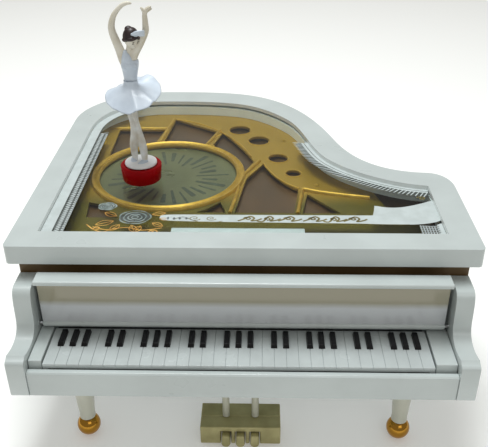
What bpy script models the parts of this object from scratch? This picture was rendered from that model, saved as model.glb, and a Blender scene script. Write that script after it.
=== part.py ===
"""Piano-shaped musical automaton with a dancing figure, as an assembly of separate pieces.

Frame: metres, +Z up, origin on the floor under the middle of the body, keyboard towards -Y.
All driving dimensions below are in millimetres and are scaled once, when a mesh is made.
"""
import math

import bmesh
import bpy
from mathutils import Matrix, Vector
from mathutils.geometry import tessellate_polygon

MM = 0.001
GAP = 0.3            # clearance that neighbouring pieces keep

# Body
LID_W = 190.0        # across the lid
LID_D = 175.0        # lid, front to tail
FRONT_Y = -72.9      # front face of the lid
LID_TOP = 84.0
LID_BOTTOM = 75.8
LID_OVERHANG = 4.0   # lid beyond the case wall
RIM_STEP_Z = 82.3    # underside of the rim's lip, over the glass
CASE_TOP = LID_BOTTOM - GAP
CASE_BOTTOM = 32.5
CASE_WALL = 2.4
BASE_T = 1.9
GLASS_TOP = 82.0
GLASS_T = 1.6
GLASS_MARGIN = 3.0   # glass beyond the window
# Decor under the glass
PLATE_TOP = 75.0
PLATE_T = 1.2
DISC_T = 0.8
SOUNDBOARD_T = 1.2
DISC_X, DISC_Y = -38.6, 8.2
RING_OUT, RING_IN = 37.4, 34.2
# Keyboard
KEYBED_BOTTOM = 32.5
KEYBED_T = 2.4
KEY_TOP = 46.0
KEY_FRONT_Y = FRONT_Y - 25.5
KEY_BACK_Y = FRONT_Y - 3.0
KEYS_LEFT, KEYS_RIGHT = -77.9, 74.9
WHITE_KEYS = 32
KEY_SLOT_W = 0.35
KEY_SLOT_DEPTH = 0.8
BLACK_TOP = 47.6
BLACK_GROUPS = (3, 2, 3, 2, 3, 2, 3, 2, 3)
NOSE_Y = FRONT_Y - 29.2
CHEEK_IN, CHEEK_OUT = 83.8, 91.0
BLOCK_OUT = 83.4
SLIP_TOP = 44.0
# Fallboard, hinged at its lower edge
HINGE_Y = FRONT_Y - 4.0
HINGE_Z = 49.5
BARREL_R = 1.4
FALLBOARD_HALF_W = 82.2
FALLBOARD_TOP = 73.2
# Feet and lyre
LEG_X, LEG_Y = 66.0, FRONT_Y - 16.0
TAIL_LEG_X, TAIL_LEG_Y = -30.0, FRONT_Y + 150.0
BALL_R = 4.9
LEG_BOTTOM = 9.6
LYRE_X, LYRE_Y = -0.8, FRONT_Y - 18.0
# Movement, its output shaft under the middle of the disc
BEDPLATE_Z = CASE_BOTTOM + BASE_T + GAP
BEDPLATE_T = 2.2
BARREL_OUT_R = 13.0
CROWN_TEETH = 28
PINION_TEETH = 7
CYLINDER_R = 6.3
CYLINDER_Z = 55.0
WHEEL_TEETH = 30
WORM_X, WORM_Y = 41.5, 9.5   # worm axis, from the shaft
ORBIT_R = 20.0       # the figure's circle over the disc
ARBOR_R, ARBOR_HOLE_R = 1.6, 1.9
# Figure
DOLL_X, DOLL_Y = -48.6, -9.0
BASE_R, BASE_H = 9.5, 7.9
TUTU_TILT = (0.14, 0.30)    # rise of the skirt towards +X and +Y


def material(name, colour, roughness, metallic=0.0):
    found = bpy.data.materials.get(name)
    if found:
        return found
    made = bpy.data.materials.new(name)
    made.use_nodes = True
    shader = made.node_tree.nodes["Principled BSDF"]
    shader.inputs["Base Color"].default_value = (*colour, 1.0)
    shader.inputs["Roughness"].default_value = roughness
    shader.inputs["Metallic"].default_value = metallic
    return made


WHITE = material("white_plastic", (0.60, 0.64, 0.64), 0.25)
BLACK = material("black_plastic", (0.01, 0.01, 0.012), 0.3)
GOLD = material("gold_plastic", (0.45, 0.27, 0.06), 0.35, 0.8)
BROWN = material("soundboard_brown", (0.08, 0.045, 0.02), 0.5)
OLIVE = material("disc_olive", (0.17, 0.18, 0.09), 0.3, 0.3)
BRASS = material("brass", (0.65, 0.46, 0.18), 0.3, 1.0)
STEEL = material("steel", (0.55, 0.56, 0.57), 0.3, 1.0)
MAGNET = material("magnet", (0.12, 0.12, 0.13), 0.4, 0.6)
GLASS = material("glass", (0.75, 0.85, 0.85), 0.03)
RED = material("red_plastic", (0.2, 0.0, 0.004), 0.3)
SKIN = material("figure_skin", (0.50, 0.47, 0.36), 0.4)
FABRIC_WHITE = material("tutu_white", (0.55, 0.60, 0.68), 0.4)


# ---- outlines ----------------------------------------------------------------------------

def bezier(start, handle_a, handle_b, end, steps):
    """Points of a cubic curve, without its last one."""
    points = []
    for i in range(steps):
        t = i / steps
        s = 1.0 - t
        weights = (s * s * s, 3 * s * s * t, 3 * s * t * t, t * t * t)
        corners = (start, handle_a, handle_b, end)
        points.append(tuple(sum(w * c[k] for w, c in zip(weights, corners)) for k in (0, 1)))
    return points


def arc(cx, cy, radius, start_deg, end_deg, steps):
    """Points of an arc, both ends included."""
    points = []
    for i in range(steps + 1):
        angle = math.radians(start_deg + (end_deg - start_deg) * i / steps)
        points.append((cx + radius * math.cos(angle), cy + radius * math.sin(angle)))
    return points


def circle(cx, cy, radius, steps):
    return arc(cx, cy, radius, 0, 360, steps)[:-1]


def rectangle(x0, y0, x1, y1):
    return [(x0, y0), (x1, y0), (x1, y1), (x0, y1)]


def offset(points, inwards):
    """A counter-clockwise outline moved inwards, mitred at its corners."""
    moved = []
    count = len(points)
    for i, here in enumerate(points):
        before = Vector(here) - Vector(points[i - 1])
        after = Vector(points[(i + 1) % count]) - Vector(here)
        normal_a = Vector((-before.y, before.x)).normalized()
        normal_b = Vector((-after.y, after.x)).normalized()
        mitre = (normal_a + normal_b).normalized()
        length = inwards / max(0.5, mitre.dot(normal_a))
        moved.append((here[0] + mitre.x * length, here[1] + mitre.y * length))
    return moved


def lid_outline(rounded=True, steps=7):
    """Grand-piano plan of the lid, counter-clockwise from the front left.

    The square-cornered version is the one to offset.
    """
    half = LID_W / 2
    shift = FRONT_Y
    points = [(-half, shift), (half, shift)]
    if rounded:
        points = arc(-half + 2, shift + 2, 2, 180, 270, 2)
        points += arc(half - 2, shift + 2, 2, 270, 360, 2)
    points += bezier((half, shift + 53), (half, shift + 61), (91, shift + 67.3), (84, shift + 67.3), 4)
    points += bezier((84, shift + 67.3), (60, shift + 69), (50, shift + 86), (44.5, shift + 106), steps)
    points += bezier((44.5, shift + 106), (36, shift + 136), (22, shift + 168), (-12, shift + 173), steps)
    points += bezier((-12, shift + 173), (-24, shift + LID_D), (-36, shift + LID_D),
                     (-48, shift + LID_D), 3)
    points += bezier((-48, shift + LID_D), (-66, shift + LID_D), (-half, shift + 160),
                     (-half, shift + 131), steps)
    points.append((-half, shift + 131))
    return points


def window_outline(steps=6):
    """Opening of the rim, counter-clockwise from the front left."""
    shift = FRONT_Y
    points = [(-84, shift + 12), (83, shift + 12), (83, shift + 54)]
    points += bezier((83, shift + 54), (66, shift + 56), (46, shift + 70), (38, shift + 84.8), steps)[1:]
    points += bezier((38, shift + 84.8), (31, shift + 99), (30, shift + 118), (22.2, shift + 131.1), steps)
    points += bezier((22.2, shift + 131.1), (14, shift + 144), (3, shift + 154), (-9.2, shift + 156.4), 4)
    points += bezier((-9.2, shift + 156.4), (-22, shift + 159.5), (-36, shift + 159.5),
                     (-50.4, shift + 159.2), 4)
    points += bezier((-50.4, shift + 159.2), (-66, shift + 158.5), (-84, shift + 144),
                     (-84, shift + 119), steps)
    points.append((-84, shift + 119))
    return points


# ---- solids ------------------------------------------------------------------------------

def finish(name, mesh_builder, skin, smooth_deg=None, pivot=(0.0, 0.0, 0.0), cutter=False):
    """Scale a bmesh to metres, put its origin at the pivot and link it as one object."""
    bmesh.ops.recalc_face_normals(mesh_builder, faces=mesh_builder.faces)
    if mesh_builder.calc_volume(signed=True) < 0:
        bmesh.ops.reverse_faces(mesh_builder, faces=mesh_builder.faces)
    bmesh.ops.translate(mesh_builder, verts=mesh_builder.verts, vec=-Vector(pivot))
    bmesh.ops.scale(mesh_builder, verts=mesh_builder.verts, vec=(MM, MM, MM))
    mesh = bpy.data.meshes.new(name)
    mesh_builder.to_mesh(mesh)
    mesh_builder.free()
    mesh.materials.append(skin)
    if smooth_deg:
        mesh.shade_smooth()
        mesh.set_sharp_from_angle(angle=math.radians(smooth_deg))
    made = bpy.data.objects.new(name, mesh)
    made.location = Vector(pivot) * MM
    bpy.context.scene.collection.objects.link(made)
    if cutter:
        made.hide_render = True
        made.display_type = "WIRE"
    return made


def add_prism(target, loops, low, high, axes="xyz"):
    """Add an extruded outline with holes: the first loop is the outside, the rest are holes.

    axes names where the outline's two directions and the extrusion go, e.g. "yzx".
    """
    order = [axes.index(letter) for letter in "xyz"]

    def place(u, v, w):
        return Vector([(u, v, w)[k] for k in order])

    levels = []
    for height in (low, high):
        levels.append([[target.verts.new(place(u, v, height)) for u, v in loop] for loop in loops])
    flat = [[vert for loop in level for vert in loop] for level in levels]
    cells = tessellate_polygon([[Vector((u, v, 0)) for u, v in loop] for loop in loops])
    for side in flat:
        for cell in cells:
            target.faces.new([side[k] for k in cell])
    for bottom, top in zip(*levels):
        for i in range(len(bottom)):
            j = (i + 1) % len(bottom)
            target.faces.new((bottom[i], bottom[j], top[j], top[i]))


def prism(name, loops, low, high, skin, axes="xyz", **extra):
    shape = bmesh.new()
    add_prism(shape, loops, low, high, axes)
    return finish(name, shape, skin, **extra)


def turned(name, profile, centre, skin, segments=24, axis="z", cutter=False, pivot=None, smooth_deg=35):
    """A solid of revolution: the profile's (radius, height) points run round a closed section,
    or from axis to axis when both ends have radius 0."""
    shape = bmesh.new()
    rings = []
    for radius, height in profile:
        if radius == 0:
            rings.append([shape.verts.new((0, 0, height))])
            continue
        ring = []
        for i in range(segments):
            angle = 2 * math.pi * i / segments
            ring.append(shape.verts.new((radius * math.cos(angle), radius * math.sin(angle), height)))
        rings.append(ring)
    pairs = list(zip(rings, rings[1:]))
    if profile[0][0] != 0:
        pairs.append((rings[-1], rings[0]))
    for first, second in pairs:
        for i in range(segments):
            j = (i + 1) % segments
            corners = [first[i % len(first)], first[j % len(first)],
                       second[j % len(second)], second[i % len(second)]]
            shape.faces.new(list(dict.fromkeys(corners)))
    turn = {"z": Matrix.Identity(3), "x": Matrix.Rotation(math.pi / 2, 3, "Y"),
            "y": Matrix.Rotation(-math.pi / 2, 3, "X")}[axis]
    bmesh.ops.transform(shape, matrix=turn.to_4x4(), verts=shape.verts)
    bmesh.ops.translate(shape, verts=shape.verts, vec=Vector(centre))
    return finish(name, shape, skin, smooth_deg=smooth_deg, pivot=pivot or centre, cutter=cutter)


def tube(shape, points, radii, sides=8):
    """Add a closed tube through the points, with a radius at each."""
    spots = [Vector(p) for p in points]
    rings = []
    for i, spot in enumerate(spots):
        ahead = spots[min(i + 1, len(spots) - 1)] - spots[max(i - 1, 0)]
        across = ahead.cross(Vector((0, 1, 0))).normalized()
        other = across.cross(ahead).normalized()
        ring = []
        for k in range(sides):
            angle = 2 * math.pi * k / sides
            ring.append(shape.verts.new(spot + radii[i] * (math.cos(angle) * across
                                                           + math.sin(angle) * other)))
        rings.append(ring)
    for first, second in zip(rings, rings[1:]):
        for k in range(sides):
            j = (k + 1) % sides
            shape.faces.new((first[k], first[j], second[j], second[k]))
    shape.faces.new(rings[0])
    shape.faces.new(rings[-1])


def combine(target, others, operation):
    """Join or cut with helper solids that stay hidden."""
    for other in others:
        step = target.modifiers.new(f"{operation.lower()}_{other.name}", "BOOLEAN")
        step.operation = operation
        step.object = other
        step.solver = "EXACT"
    return target


def gear_loop(cx, cy, teeth, tip_r, root_r, turn_deg=0.0):
    """Outline of a straight-sided gear."""
    points = []
    for i in range(teeth):
        for share, radius in ((-0.32, root_r), (-0.16, tip_r), (0.16, tip_r), (0.32, root_r)):
            angle = 2 * math.pi * (i + share) / teeth + math.radians(turn_deg)
            points.append((cx + radius * math.cos(angle), cy + radius * math.sin(angle)))
    return points


# ---- case and lid ------------------------------------------------------------------------

BOSSES = ((-86.0, FRONT_Y + 30.0), (-86.0, FRONT_Y + 118.0), (-31.0, FRONT_Y + 165.8),
          (86.0, FRONT_Y + 14.5), (51.9, FRONT_Y + 72.6))
BOSS_R, BOSS_BORE = 3.0, 1.3


def make_case():
    outer = offset(lid_outline(rounded=False), LID_OVERHANG)
    inner = offset(lid_outline(rounded=False), LID_OVERHANG + CASE_WALL)
    shell = prism("case_shell", [outer, inner], CASE_BOTTOM, CASE_TOP, WHITE)
    soundboard_low = PLATE_TOP - PLATE_T - 2 * GAP - DISC_T - SOUNDBOARD_T
    posts, bores = [], []
    foot = CASE_BOTTOM + BASE_T + GAP
    head = soundboard_low - GAP
    for number, (x, y) in enumerate(BOSSES, 1):
        posts.append(prism(f"boss_{number}", [circle(x, y, BOSS_R, 12)], foot, head, WHITE, cutter=True))
        bores.append(prism(f"boss_bore_{number}", [circle(x, y, BOSS_BORE, 8)], foot - 1, head + 1, WHITE,
                           cutter=True))
    combine(shell, posts, "UNION")
    combine(shell, bores, "DIFFERENCE")

    floor_edge = offset(lid_outline(rounded=False), LID_OVERHANG + CASE_WALL + GAP)
    holes = [circle(x, y, 1.4, 8) for x, y in BOSSES]
    holes.append(circle(DISC_X, DISC_Y, ARBOR_HOLE_R, 12))
    holes.append(circle(TAIL_LEG_X, TAIL_LEG_Y, 2.0, 10))
    prism("base_plate", [floor_edge] + holes, CASE_BOTTOM, CASE_BOTTOM + BASE_T, WHITE)

    screw = [(0, CASE_BOTTOM + 8), (1.0, CASE_BOTTOM + 8), (1.0, CASE_BOTTOM - GAP),
             (2.4, CASE_BOTTOM - GAP), (2.4, CASE_BOTTOM - 1.3), (0, CASE_BOTTOM - 1.3)]
    for number, (x, y) in enumerate(BOSSES, 1):
        turned(f"base_screw_{number}", screw, (x, y, 0), STEEL, 10)


def make_lid():
    """The rim with a pocket under its lip, the glass in it and the ring that holds the glass."""
    outer = lid_outline()
    window = window_outline()
    pocket = offset(window, -(GLASS_MARGIN + GAP))
    shape = bmesh.new()

    def level(points, height):
        return [shape.verts.new((x, y, height)) for x, y in points]

    def skirt(first, second):
        for i in range(len(first)):
            j = (i + 1) % len(first)
            shape.faces.new((first[i], first[j], second[j], second[i]))

    def cap(outline, outline_verts, hole, hole_verts):
        verts = outline_verts + hole_verts
        for cell in tessellate_polygon([[Vector((x, y, 0)) for x, y in loop]
                                        for loop in (outline, hole)]):
            shape.faces.new([verts[k] for k in cell])

    outer_low, outer_high = level(outer, LID_BOTTOM), level(outer, LID_TOP)
    pocket_low, pocket_high = level(pocket, LID_BOTTOM), level(pocket, RIM_STEP_Z)
    window_low, window_high = level(window, RIM_STEP_Z), level(window, LID_TOP)
    skirt(outer_low, outer_high)
    skirt(pocket_low, pocket_high)
    skirt(pocket_high, window_low)
    skirt(window_low, window_high)
    cap(outer, outer_low, pocket, pocket_low)
    cap(outer, outer_high, window, window_high)
    finish("lid_frame", shape, WHITE)

    pane = offset(window, -GLASS_MARGIN)
    prism("glass_pane", [pane], GLASS_TOP - GLASS_T, GLASS_TOP, GLASS)
    prism("glass_retainer", [pane, window], LID_BOTTOM, GLASS_TOP - GLASS_T - GAP, WHITE)


# ---- keyboard end ------------------------------------------------------------------------

def cheek_profile():
    """Side of a cheek in (y, z): upright arm, concave sweep, rounded nose."""
    y = FRONT_Y
    points = [(y + 3.4, CASE_BOTTOM), (y - 28.6, CASE_BOTTOM), (y - 29.2, CASE_BOTTOM + 1)]
    points += arc(y - 27.4, 47.8, 1.8, 180, 90, 3)
    points += bezier((y - 25.9, 50.6), (y - 19.0, 48.4), (y - 12.4, 48.6), (y - 10.6, 53.5), 5)
    points += bezier((y - 10.6, 53.5), (y - 9.6, 57.0), (y - 10.2, 63.0), (y - 9.0, 66.6), 4)
    points += [(y - 9.0, 66.6), (y - 7.6, 68.8), (y - 5.4, 69.5), (y + 3.4, 69.5)]
    return points


def make_keyboard():
    for side, name in ((-1, "left"), (1, "right")):
        low, high = sorted((side * CHEEK_IN, side * CHEEK_OUT))
        hole = circle(HINGE_Y, HINGE_Z, 0.9, 8)
        prism(f"{name}_cheek", [cheek_profile(), hole], low, high, WHITE, axes="yzx")
        low, high = (KEYS_RIGHT + GAP, BLOCK_OUT) if side > 0 else (-BLOCK_OUT, KEYS_LEFT - GAP)
        floor = KEYBED_BOTTOM + KEYBED_T + GAP
        section = [(KEY_FRONT_Y, floor), (KEY_BACK_Y, floor), (KEY_BACK_Y, KEY_TOP + 1.0),
                   (KEY_FRONT_Y + 1.2, KEY_TOP + 1.0), (KEY_FRONT_Y, KEY_TOP - 0.2)]
        prism(f"{name}_key_block", [section], low, high, WHITE, axes="yzx")

    bed = rectangle(-BLOCK_OUT, KEY_FRONT_Y, BLOCK_OUT, FRONT_Y + 3.4)
    sockets = [circle(side * LEG_X, LEG_Y, 2.0, 10) for side in (-1, 1)]
    lyre = [circle(LYRE_X + side * 6.1, LYRE_Y + 1.0, 1.8, 10) for side in (-1, 1)]
    prism("keybed", [bed] + sockets + lyre, KEYBED_BOTTOM, KEYBED_BOTTOM + KEYBED_T, WHITE)
    prism("key_slip", [rectangle(NOSE_Y + 0.6, KEYBED_BOTTOM, KEY_FRONT_Y - GAP, SLIP_TOP)],
          -BLOCK_OUT, BLOCK_OUT, WHITE, axes="yzx")

    pitch = (KEYS_RIGHT - KEYS_LEFT) / WHITE_KEYS
    skirt_z = KEYBED_BOTTOM + KEYBED_T + GAP
    top = []
    for i in range(1, WHITE_KEYS):
        x = KEYS_RIGHT - i * pitch
        top += [(x + KEY_SLOT_W / 2, KEY_TOP), (x + KEY_SLOT_W / 2, KEY_TOP - KEY_SLOT_DEPTH),
                (x - KEY_SLOT_W / 2, KEY_TOP - KEY_SLOT_DEPTH), (x - KEY_SLOT_W / 2, KEY_TOP)]
    section = [(KEYS_LEFT, skirt_z), (KEYS_LEFT + 2, skirt_z), (KEYS_LEFT + 2, KEY_TOP - 2.4),
               (KEYS_RIGHT - 2, KEY_TOP - 2.4), (KEYS_RIGHT - 2, skirt_z), (KEYS_RIGHT, skirt_z),
               (KEYS_RIGHT, KEY_TOP)] + top + [(KEYS_LEFT, KEY_TOP)]
    prism("white_keys", [section], KEY_FRONT_Y, KEY_BACK_Y, WHITE, axes="xzy")

    low_z = KEY_TOP + GAP
    rail_y = (FRONT_Y - 5.0, FRONT_Y - 2.8)
    left, right = KEYS_LEFT + 1.0, KEYS_RIGHT - 1.0
    comb = [(left, rail_y[1]), (right, rail_y[1]), (right, rail_y[0])]
    for x in reversed(black_key_centres(pitch)):
        comb += [(x + 1.25, rail_y[0]), (x + 1.25, FRONT_Y - 14.8),
                 (x - 1.25, FRONT_Y - 14.8), (x - 1.25, rail_y[0])]
    comb.append((left, rail_y[0]))
    prism("black_keys", [comb], low_z, BLACK_TOP, BLACK)


def black_key_centres(pitch):
    """Black keys stand over the gaps between white keys, in groups of three and two."""
    centres = []
    gap_number = 1
    for size in BLACK_GROUPS:
        for _ in range(size):
            centres.append(KEYS_LEFT + gap_number * pitch)
            gap_number += 1
        gap_number += 1
    return centres


def make_fallboard():
    """Panel with a lip at its top and a hinge barrel at its foot."""
    y, z = HINGE_Y, HINGE_Z
    section = arc(y, z, BARREL_R, 45, -225, 9)
    section += [(y - 1.0, FALLBOARD_TOP - 2.4), (y - 5.0, FALLBOARD_TOP - 1.9),
                (y - 5.0, FALLBOARD_TOP - 0.5), (y - 4.5, FALLBOARD_TOP), (y + 2.6, FALLBOARD_TOP), (y + 2.6, FALLBOARD_TOP - 1.9),
                (y + 1.0, FALLBOARD_TOP - 2.4)]
    board = prism("fallboard", [section], -FALLBOARD_HALF_W, FALLBOARD_HALF_W, WHITE, axes="yzx",
                  pivot=(0, y, z))
    bores = []
    for side, name in ((-1, "left"), (1, "right")):
        reach = side * (FALLBOARD_HALF_W - 2.0)
        bores.append(turned(f"bore_{name}", [(0, -4), (0.9, -4), (0.9, 4), (0, 4)][::-1],
                            (reach, y, z), WHITE, 8, axis="x", cutter=True))
        turned(f"{name}_hinge_pin", [(0, 3.2), (0.6, 3.2), (0.6, -3.2), (0, -3.2)],
               (side * (FALLBOARD_HALF_W + 1.2), y, z), STEEL, 8, axis="x")
    combine(board, bores, "DIFFERENCE")


def make_legs():
    """Tapered legs whose studs go up into the body, each on a ball foot."""
    places = (("front_left", -LEG_X, LEG_Y), ("front_right", LEG_X, LEG_Y), ("tail", TAIL_LEG_X, TAIL_LEG_Y))
    for name, x, y in places:
        shoulder = CASE_BOTTOM - GAP
        profile = [(0, shoulder + 4.0), (1.5, shoulder + 4.0), (1.5, shoulder), (4.75, shoulder),
                   (4.75, shoulder - 1.5), (3.1, LEG_BOTTOM + 0.8), (3.1, LEG_BOTTOM), (0, LEG_BOTTOM)]
        turned(f"{name}_leg", profile, (x, y, 0), WHITE, 18)
        ball = [(0, LEG_BOTTOM - GAP)]
        ball += [(BALL_R * math.sin(math.radians(a)), BALL_R + BALL_R * math.cos(math.radians(a)))
                 for a in range(30, 170, 20)]
        ball += [(1.5, 0.0), (0, 0.0)]
        turned(f"{name}_ball_foot", ball, (x, y, 0), GOLD, 18)


def make_lyre():
    """Two posts, a box and three pedals."""
    box_low, box_high = 2.0, 11.4
    for side, name in ((-1, "left"), (1, "right")):
        turned(f"{name}_lyre_post", [(0, CASE_BOTTOM + 2.0), (1.5, CASE_BOTTOM + 2.0), (1.5, box_high + GAP),
                                     (0, box_high + GAP)], (LYRE_X + side * 6.1, LYRE_Y + 1.0, 0), WHITE, 10)
    loops = [rectangle(LYRE_X - 16.7, LYRE_Y - 6.0, LYRE_X + 16.7, LYRE_Y + 8.2)]
    box = prism("pedal_box", loops, box_low, box_high, GOLD)
    slots = []
    for number, name in ((-1, "left"), (0, "middle"), (1, "right")):
        x = LYRE_X + number * 6.0
        slots.append(prism(f"slot_{name}", [rectangle(x - 2.1, LYRE_Y - 8.0, x + 2.1, LYRE_Y + 0.5)],
                           box_low - 1.0, box_low + 6.8, GOLD, cutter=True))
        pedal = rectangle(x - 1.8, LYRE_Y - 8.2, x + 1.8, LYRE_Y + 0.2)
        prism(f"{name}_pedal", [pedal], box_low, box_low + 6.5, BRASS)
    combine(box, slots, "DIFFERENCE")


# ---- decor under the glass ---------------------------------------------------------------

PLATE_SCREWS = ((19.6, FRONT_Y + 122.5), (34.0, FRONT_Y + 70.0))


def ring_points(start_deg, end_deg, steps=4):
    return arc(DISC_X, DISC_Y, RING_OUT, start_deg, end_deg, steps)


def plate_openings():
    """Openings of the harp-shaped plate: round the ring, between its struts and in its band."""
    y = FRONT_Y
    loops = [circle(DISC_X, DISC_Y, RING_IN, 32)]
    loops.append([(-72, y + 137), (-72, y + 103)] + ring_points(146, 108) + [(-46.5, y + 137)])
    loops.append([(-42, y + 152)] + ring_points(101, 65)[:] + [(-17.5, y + 135)])
    loops.append([(-14, y + 133.5)] + ring_points(59, 4, 5) + [(3.5, y + 95.5), (-3, y + 114)])
    loops.append([(8.5, y + 93.5), (0.3, y + 77.5)] + [(-1.3, y + 68), (-4.6, y + 43), (22, y + 43),
                  (25, y + 65.5), (17, y + 71)])
    loops.append([(29, y + 61), (26, y + 43), (43, y + 43)])
    loops.append([(-72, y + 52), (-70.5, y + 38), (-56.5, y + 38), (-66, y + 50)])
    loops.append([(-11.5, y + 53), (-17.5, y + 46), (-22, y + 43), (-8.5, y + 43)])
    for x, depth, radius in ((-4.6, 136.3, 5.8), (6.1, 122.0, 5.5), (16.1, 99.8, 4.9), (23.2, 82.5, 3.6)):
        loops.append(circle(x, y + depth, radius, 14))
    return loops


def make_decor():
    plate_low = PLATE_TOP - PLATE_T
    disc_low = plate_low - GAP - DISC_T
    board_low = disc_low - GAP - SOUNDBOARD_T
    y = FRONT_Y
    edge = [(-79.5, y + 8), (78, y + 8), (78, y + 30), (62, y + 52)]
    edge += bezier((62, y + 52), (48, y + 60), (40, y + 74), (35.5, y + 88), 5)[1:]
    edge += bezier((35.5, y + 88), (31, y + 112), (24, y + 140), (-8, y + 150), 6)
    edge += bezier((-8, y + 150), (-24, y + 154.5), (-40, y + 154.5), (-56, y + 152), 4)
    edge += bezier((-56, y + 152), (-70, y + 150), (-79.5, y + 140), (-79.5, y + 122), 4)
    edge.append((-79.5, y + 122))
    screw_holes = [circle(x, sy, 0.9, 8) for x, sy in PLATE_SCREWS]
    prism("gold_plate", [edge] + plate_openings() + screw_holes, plate_low, PLATE_TOP, GOLD)
    prism("sunburst_disc", [circle(DISC_X, DISC_Y, RING_OUT - 1.0, 40)], disc_low, disc_low + DISC_T, OLIVE)
    board_edge = offset(lid_outline(rounded=False), LID_OVERHANG + CASE_WALL + GAP)
    holes = [circle(DISC_X, DISC_Y, 30.0, 32)] + screw_holes
    prism("soundboard", [board_edge] + holes, board_low, board_low + SOUNDBOARD_T, BROWN)
    block = rectangle(-30.5, y + 12.4, 25.6, y + 22.0)
    prism("front_cover_block", [block], PLATE_TOP + GAP, 79.6, WHITE)
    screw = [(0, PLATE_TOP + 0.9), (0.9, PLATE_TOP + 0.7), (1.3, PLATE_TOP + GAP), (0.6, PLATE_TOP + GAP),
             (0.6, board_low - 2.0), (0, board_low - 2.0)]
    for number, (x, sy) in enumerate(PLATE_SCREWS, 1):
        turned(f"plate_screw_{number}", screw, (x, sy, 0), GOLD, 8)


# ---- movement ----------------------------------------------------------------------------

def make_movement():
    bed_top = BEDPLATE_Z + BEDPLATE_T
    bed = rectangle(DISC_X - 17, DISC_Y - 24, DISC_X + 52, DISC_Y + 18)
    casting = prism("movement_bedplate", [bed, circle(DISC_X, DISC_Y, ARBOR_HOLE_R, 12)], BEDPLATE_Z, bed_top, BRASS)

    barrel_low, barrel_high = bed_top + 0.5, 50.0
    profile = [(0, barrel_high), (BARREL_OUT_R - 2.5, barrel_high), (BARREL_OUT_R - 2.5, 49.0),
               (BARREL_OUT_R, 48.0), (BARREL_OUT_R, barrel_low), (2.6, barrel_low), (2.6, 45.0), (0, 45.0)]
    barrel = turned("spring_barrel", profile, (DISC_X, DISC_Y, 0), BRASS, 28)
    notches = prism("crown_teeth", [gear_loop(DISC_X, DISC_Y, CROWN_TEETH, BARREL_OUT_R + 1.3,
                                              BARREL_OUT_R - 0.6)], 45.6, 47.6, BRASS, cutter=True)
    combine(barrel, [notches], "UNION")

    arm_low, arm_high = 69.0, 70.4
    shaft = turned("drive_shaft", [(0, arm_low + 0.5), (1.4, arm_low + 0.5), (1.4, barrel_high + GAP),
                                   (0, barrel_high + GAP)], (DISC_X, DISC_Y, 0), STEEL, 12, cutter=True)
    away = Vector((DOLL_X - DISC_X, DOLL_Y - DISC_Y)).normalized()
    across = Vector((-away.y, away.x))
    hub = Vector((DISC_X, DISC_Y))
    corners = []
    for along, side in ((-9, -4), (ORBIT_R + 4.6, -4), (ORBIT_R + 4.6, 4), (-9, 4)):
        spot = hub + away * along + across * side
        corners.append((spot.x, spot.y))
    arm = prism("magnet_arm", [corners], arm_low, arm_high, WHITE, pivot=(DISC_X, DISC_Y, arm_low))
    combine(arm, [shaft], "UNION")
    spot = hub + away * ORBIT_R
    turned("arm_magnet", [(0, arm_high + 2.0), (4.0, arm_high + 2.0), (4.0, arm_high + GAP),
                          (0, arm_high + GAP)], (spot.x, spot.y, 0), MAGNET, 16)

    combine(casting, make_cylinder() + make_comb(), "UNION")
    make_governor(bed_top)

    turned("winding_arbor", [(0, 44.5), (ARBOR_R, 44.5), (ARBOR_R, 28.3), (0, 28.3)],
           (DISC_X, DISC_Y, 0), STEEL, 12)
    wing = [(DISC_X - 11, 14), (DISC_X - 12, 16), (DISC_X - 12, 24), (DISC_X - 10.5, 26)]
    wing += [(DISC_X - 3.5, 28.0), (DISC_X + 3.5, 28.0)]
    wing += [(DISC_X + 10.5, 26), (DISC_X + 12, 24), (DISC_X + 12, 16), (DISC_X + 11, 14)]
    wing += [(DISC_X + 3, 17), (DISC_X - 3, 17)]
    prism("winding_key", [wing], DISC_Y - 1.3, DISC_Y + 1.3, STEEL, axes="xzy",
          pivot=(DISC_X, DISC_Y, 22))


def make_cylinder():
    """Pinned cylinder with its pinion and wheel; returns the bedplate's two bearings for it."""
    start = DISC_X + 9.5
    profile = [(0, 0), (1.0, 0), (1.0, 8.5), (CYLINDER_R, 8.5), (CYLINDER_R, 30.0), (1.0, 30.0),
               (1.0, 37.0), (0, 37.0)][::-1]
    cylinder = turned("music_cylinder", profile, (start, DISC_Y, CYLINDER_Z), BRASS, 24, axis="x",
                      pivot=(start, DISC_Y, CYLINDER_Z))
    extras = [
        prism("pinion", [gear_loop(DISC_Y, CYLINDER_Z, PINION_TEETH, 4.4, 3.0)], start + 1.2,
              start + 4.6, BRASS, axes="yzx", cutter=True),
        prism("wheel", [gear_loop(DISC_Y, CYLINDER_Z, WHEEL_TEETH, 7.6, 6.5)], start + 31.0,
              start + 33.0, BRASS, axes="yzx", cutter=True),
    ]
    combine(cylinder, extras, "UNION")

    foot = BEDPLATE_Z + 1.0
    bearings = []
    for name, x in (("inner_bearing", start + 5.6), ("outer_bearing", start + 34.4)):
        outline = [(DISC_Y - 5, foot), (DISC_Y + 5, foot), (DISC_Y + 5, CYLINDER_Z + 2),
                   (DISC_Y + 3, CYLINDER_Z + 3.5), (DISC_Y - 3, CYLINDER_Z + 3.5), (DISC_Y - 5, CYLINDER_Z + 2)]
        bearings.append(prism(name, [outline, circle(DISC_Y, CYLINDER_Z, 1.4, 10)], x, x + 1.6,
                              BRASS, axes="yzx", cutter=True))
    return bearings


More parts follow.
